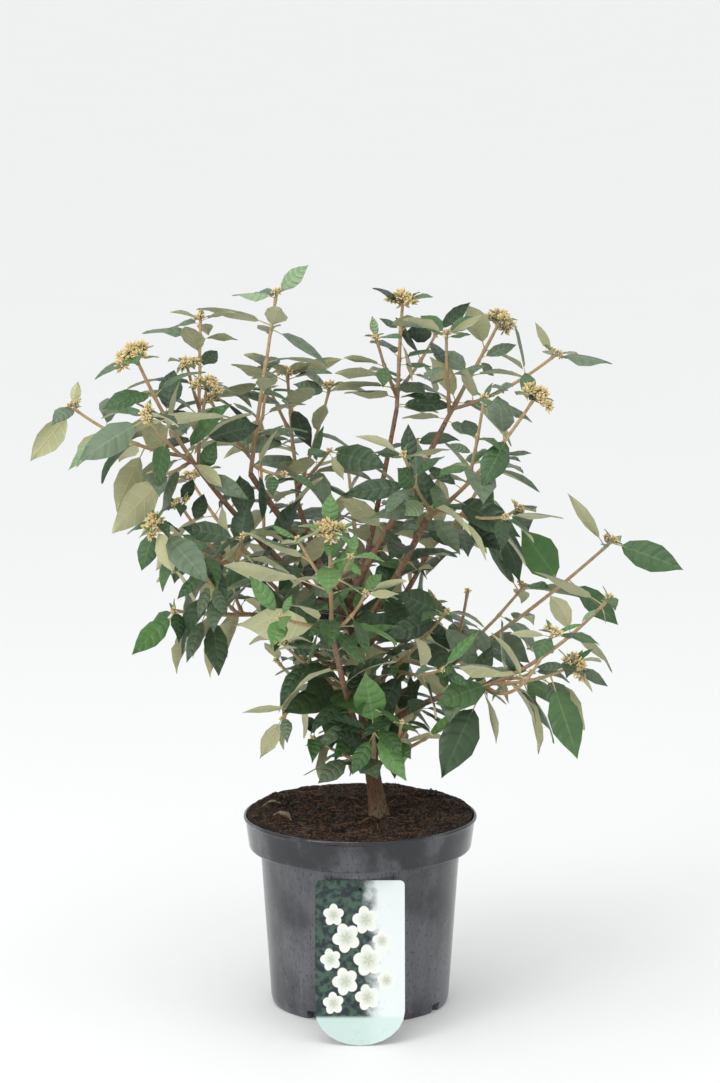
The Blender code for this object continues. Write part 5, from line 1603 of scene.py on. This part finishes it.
# The deep row is dark in part as painted shade for the inner and low leaves. The dull row's grey is in part
# painted sheen for the high leaves.
TINTS = {  # dark and light upper side, and its veins; dark and light underside
    "deep": ((0.012, 0.034, 0.011), (0.030, 0.076, 0.023), (0.095, 0.165, 0.060),
             (0.36, 0.37, 0.20), (0.49, 0.49, 0.29)),
    "mid": ((0.034, 0.094, 0.025), (0.072, 0.168, 0.046), (0.175, 0.280, 0.110),
            (0.37, 0.38, 0.20), (0.50, 0.50, 0.29)),
    "dull_and_sheen": ((0.078, 0.128, 0.070), (0.140, 0.202, 0.114), (0.250, 0.315, 0.190),
             (0.38, 0.39, 0.21), (0.52, 0.52, 0.31)),
    "bright": ((0.034, 0.124, 0.014), (0.066, 0.192, 0.030), (0.140, 0.280, 0.085),
               (0.38, 0.40, 0.20), (0.50, 0.50, 0.29)),
    "fresh": ((0.086, 0.205, 0.048), (0.142, 0.295, 0.084), (0.250, 0.400, 0.155),
              (0.42, 0.46, 0.24), (0.52, 0.55, 0.32)),
    "young": ((0.220, 0.345, 0.175), (0.320, 0.450, 0.250), (0.400, 0.520, 0.310),
              (0.42, 0.46, 0.24), (0.52, 0.55, 0.32)),
    "dry": ((0.160, 0.110, 0.045), (0.280, 0.215, 0.100), (0.330, 0.260, 0.140),
            (0.22, 0.16, 0.08), (0.32, 0.25, 0.13)),
}
rib_look = rib_finish()
looks = {
    name: [upper_finish(name, *row[:3]), under_finish(name, *row[3:])] for name, row in TINTS.items()
}
print("Leaf tints:", ", ".join(looks))

# %% [markdown]
# ## Dealing out the leaves
#
# The low and inner sprays are deep green, darker in part as painted shade where the crown shades them.
# The high ones are weathered grey-green, which the dull tint paints together with a painted sheen of the
# light from above, and the youngest pairs on the front shoot are fresh. Every spray mixes its own tint
# with a few leaves of another.

# %% Leaf pieces
# High masses take the dull tint, in part painted sheen. Sprays not named here mostly take deep, in part
# painted shade.
DULL_AND_SHEEN_MASSES = {"foliage_upper_left", "foliage_mid_left", "foliage_top_centre", "foliage_upper_right"}
FRESH_MASSES = {"foliage_front"}
MID_MASSES = {"foliage_right", "foliage_far_left", "foliage_long_right", "foliage_low_right",
              "spray_low_front"}


def tint_of(leaf, draw):
    """The tint of a leaf: its own, or else by its spray and a random number from 0 to 1."""
    if leaf.tint:
        return leaf.tint
    if leaf.mass in FRESH_MASSES:
        return "fresh" if leaf.pair == 0 or draw < 0.25 else "mid"
    if leaf.mass in DULL_AND_SHEEN_MASSES:
        return "dull_and_sheen" if draw < 0.60 else ("mid" if draw < 0.88 else "deep")
    if leaf.mass in MID_MASSES:
        return "mid" if draw < 0.50 else ("deep" if draw < 0.72 else "dull_and_sheen")
    return "deep" if draw < 0.62 else ("mid" if draw < 0.86 else "dull_and_sheen")


STALK_RINGS, STALK_SIDES = 5, 5


def stalk_points(grown, rng):
    """The stalks: tubes from the shoot to a little way inside the blade, thinner towards it."""
    keys = "root", "bend", "tip", "side", "length", "stalk"
    root, bend, tip, side, length, stalk = (array[:, None] for array in gathered(grown, *keys))
    shares = stalk * 1.25 * np.linspace(0.0, 1.0, STALK_RINGS)
    paths = curve(root, bend, tip, shares)
    thick = np.clip(length / (8 * CM), 0.6, 1.2) * np.linspace(1.0, 0.5, STALK_RINGS) * MM
    return tube_points(paths, thick, side[:, 0], STALK_SIDES)


rng = np.random.default_rng(SEED)
draws = rng.uniform(0.0, 1.0, len(leaves))
tints = np.array([tint_of(leaf, draw) for leaf, draw in zip(leaves, draws)])
points, mark = blade_points(leaves, rng)
for tint, finishes in looks.items():
    chosen = np.flatnonzero(tints == tint)
    faces = [repeated(group, len(chosen), BLADE_POINTS) for group in BLADE_FACES]
    slots = np.concatenate([np.tile(group, len(chosen)) for group in BLADE_SLOTS])
    blades = new_object(f"leaves_{tint}", points[chosen].reshape(-1, 3), faces, finishes, slots,
                        mark[chosen].reshape(-1, 3), crease=75.0)
    settle(blades, list(FOLIAGE))
stalks = stalk_points(leaves, rng).reshape(-1, 3)
tubes = tube_faces(STALK_RINGS, STALK_SIDES, len(leaves))
settle(new_object("leaf_stalks", stalks, tubes, [rib_look]))

# %% [markdown]
# ## Winter bud heads
#
# The flower buds spend the winter naked: each shoot ends in a head of many small pointed buds, covered in
# tan felt, on short stalks that fan out from one point. A head could be one spiky ball, but the
# real one is loose enough to see into. So each bud is a small spindle of its own. The spindles of a
# cluster are spread over most of a ball, and the clusters of a head over a flat dome, both by the
# golden angle, which never lines them up.

# %% Bud heads
BUD_RINGS, BUD_SIDES = 5, 4
BUD_SHAPE = np.array([0.35, 0.80, 1.0, 0.72, 0.25])


def head_centres(limb, radius):
    """Where the clusters of a head have their middles, and how large each cluster is. A big head is
    flat and has seven clusters, a middling one has three, and a small one is a single cluster."""
    count = 7 if radius > BIG_HEAD * MM else (3 if radius > MIDDLE_HEAD * MM else 1)
    if count == 1:
        return limb.tip[None], radius
    along, side = limb.tangent(1.0), limb.across
    turn = np.arange(count)[:, None] * GOLDEN_ANGLE
    out = np.sqrt(np.arange(count) / count)[:, None] * 1.15 * radius
    level = out * (np.cos(turn) * side + np.sin(turn) * np.cross(along, side))
    rise = (0.30 - 0.55 * (out / radius) ** 2) * radius
    return limb.tip + level + rise * along, radius * (0.60 if count == 7 else 0.70)


def bud_paths(centre, radius, along, side, rng):
    """Short spindles that fan out from a cluster's middle over most of a ball."""
    count = max(9, int(0.45 * (radius / MM) ** 2))
    number = (np.arange(count) + 0.5)[:, None]
    height = 1 - 1.45 * number / count
    turn = number * GOLDEN_ANGLE
    level = np.cos(turn) * side + np.sin(turn) * np.cross(along, side)
    aim = np.sqrt(1 - height**2) * level + height * along
    aim = unit(aim + rng.normal(0.0, 0.18, aim.shape))
    reach = radius * rng.uniform(0.72, 1.12, count)[:, None]
    shares = np.linspace(0.22, 1.0, BUD_RINGS)[:, None]
    return centre + (aim * reach)[:, None] * shares


def build_heads():
    """Every bud of every head, and the thin stalks that carry their clusters."""
    rng = np.random.default_rng(SEED + 1)
    buds, stems = [], []
    for name, limbs in plans.items():
        for limb, shoot in zip(limbs, FOLIAGE[name].shoots):
            if not shoot.bud:
                continue
            centres, radius = head_centres(limb, shoot.bud * MM)
            along = limb.tangent(1.0)
            root = limb.tip - along * 0.5 * shoot.bud * MM
            buds += [bud_paths(centre, radius, along, limb.across, rng) for centre in centres]
            stems.append(root + (centres[:, None] - root) * np.linspace(0.0, 1.0, BUD_RINGS)[:, None])
    buds, stems = np.concatenate(buds), np.concatenate(stems)
    radii = rng.uniform(0.85, 1.45, (len(buds), 1)) * MM * BUD_SHAPE
    thin = np.full((len(stems), BUD_RINGS), 0.7 * MM)
    points = tube_points(buds, radii, sideways(unit(buds[:, -1] - buds[:, 0])), BUD_SIDES)
    mark = np.zeros((*points.shape[:2], 3))
    mark[:, :-2, 0] = np.repeat(np.linspace(0.0, 1.0, BUD_RINGS), BUD_SIDES)
    mark[:, -1, 0] = 1.0
    mark[:, :, 2] = rng.uniform(0.0, 1.0, len(points))[:, None]
    stalks = tube_points(stems, thin, sideways(unit(stems[:, -1] - stems[:, 0] + UP * MM)), BUD_SIDES)
    return points, mark, stalks


def bud_finish():
    """Tan felt, darker at a bud's foot and pale at its point, with some greener buds."""
    felt = Finish("bud_felt", Specular_IOR_Level=0.2, Sheen_Weight=0.3, Sheen_Roughness=0.5)
    up, own = felt.mark("X"), felt.mark("Z")
    fuzz = felt.grain(1300.0, detail=2.0)
    low = felt.mix(own, (0.330, 0.220, 0.080), (0.400, 0.320, 0.130))
    high = felt.mix(own, (0.780, 0.580, 0.290), (0.720, 0.620, 0.330))
    colour = felt.mix(up.between(0.0, 0.85), low, high)
    return felt.finish(Base_Color=colour, Roughness=0.75 + 0.2 * fuzz, Normal=felt.bump(fuzz, 0.00025))


points, mark, stalks = build_heads()
heads = new_object("bud_heads", points.reshape(-1, 3), tube_faces(BUD_RINGS, BUD_SIDES, len(points)),
                   [bud_finish()], mark=mark.reshape(-1, 3), crease=80.0)
settle(heads, list(FOLIAGE))
stems = new_object("bud_stalks", stalks.reshape(-1, 3), tube_faces(BUD_RINGS, BUD_SIDES, len(stalks)),
                   [bpy.data.materials["young_shoot"]])
settle(stems)

# %% [markdown]
# ## The plant label
#
# A plastic label leans on the pot. It has a plain pattern: a spray of pale five-petalled flowers on
# a dark ground that fades to white. The solid's shape is already right, so it stays, and only its
# material changes.

# %% Label finish
FLOWERS = [  # x, z and radius in cm, and the turn of the petals
    (-2.9, 13.2, 1.2, 0.0), (0.6, 12.7, 1.5, 0.5), (-1.5, 10.9, 1.6, 1.1), (2.4, 10.6, 1.1, 0.2),
    (-3.2, 8.7, 1.2, 0.7), (0.9, 8.6, 1.7, 0.4), (-1.6, 6.5, 1.5, 0.9), (2.9, 6.6, 1.1, 0.1),
    (0.8, 4.9, 1.4, 0.6), (-2.9, 4.3, 1.2, 0.3),
]


def label_finish():
    card = Finish("label_card", Specular_IOR_Level=0.5)
    x, z = (card.part(card.spot(), axis) for axis in "XZ")
    cloud = card.grain(70.0, detail=4.0)
    weave = card.grain(160.0, detail=3.0).between(0.40, 0.62)
    ground = card.mix(weave, (0.010, 0.018, 0.024), (0.045, 0.095, 0.065))
    fade = (x + 3.0 * CM * (cloud - 0.5)).between(0.4 * CM, 2.2 * CM)
    colour = card.mix(fade, ground, (0.72, 0.78, 0.77))
    shape, depth = 0.0, 0.0
    for across, high, radius, start in FLOWERS:
        aside, above = x - across * CM, z - high * CM
        petals = abs(aside.reckon("COSINE", 2.5 * aside.reckon("ARCTAN2", aside, above) + start))
        far = (aside**2 + above**2) ** 0.5 / (radius * CM * (0.70 + 0.30 * petals))
        shape = far.reckon("MAXIMUM", far.between(1.0, 0.92), shape)
        depth = far.reckon("MAXIMUM", far.between(0.85, 0.05) * (1.1 - 0.6 * petals), depth)
    flower = card.mix(depth, (0.78, 0.80, 0.74), (0.38, 0.42, 0.30))
    colour = card.mix(shape, colour, flower)
    band = z.between(3.1 * CM, 2.7 * CM)
    colour = card.mix(0.9 * band, colour, (0.58, 0.72, 0.68))
    return card.finish(Base_Color=colour, Roughness=0.24 + 0.1 * cloud)


label = frame["nodes"]["plant_tag"]
label.data.materials.clear()
label.data.materials.append(label_finish())
print("The label has", len(FLOWERS), "printed flowers")

# %% [markdown]
# ## Size
#
# The plain model's box and the dressed plant's box are both printed, side by side. The dressed
# plant has to keep to the plain model's box.

# %% Compare and finish
dressed_low, dressed_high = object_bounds()
for axis in range(3):
    corners = model_low, dressed_low, model_high, dressed_high
    print("xyz"[axis], [round(1000 * corner[axis], 1) for corner in corners])
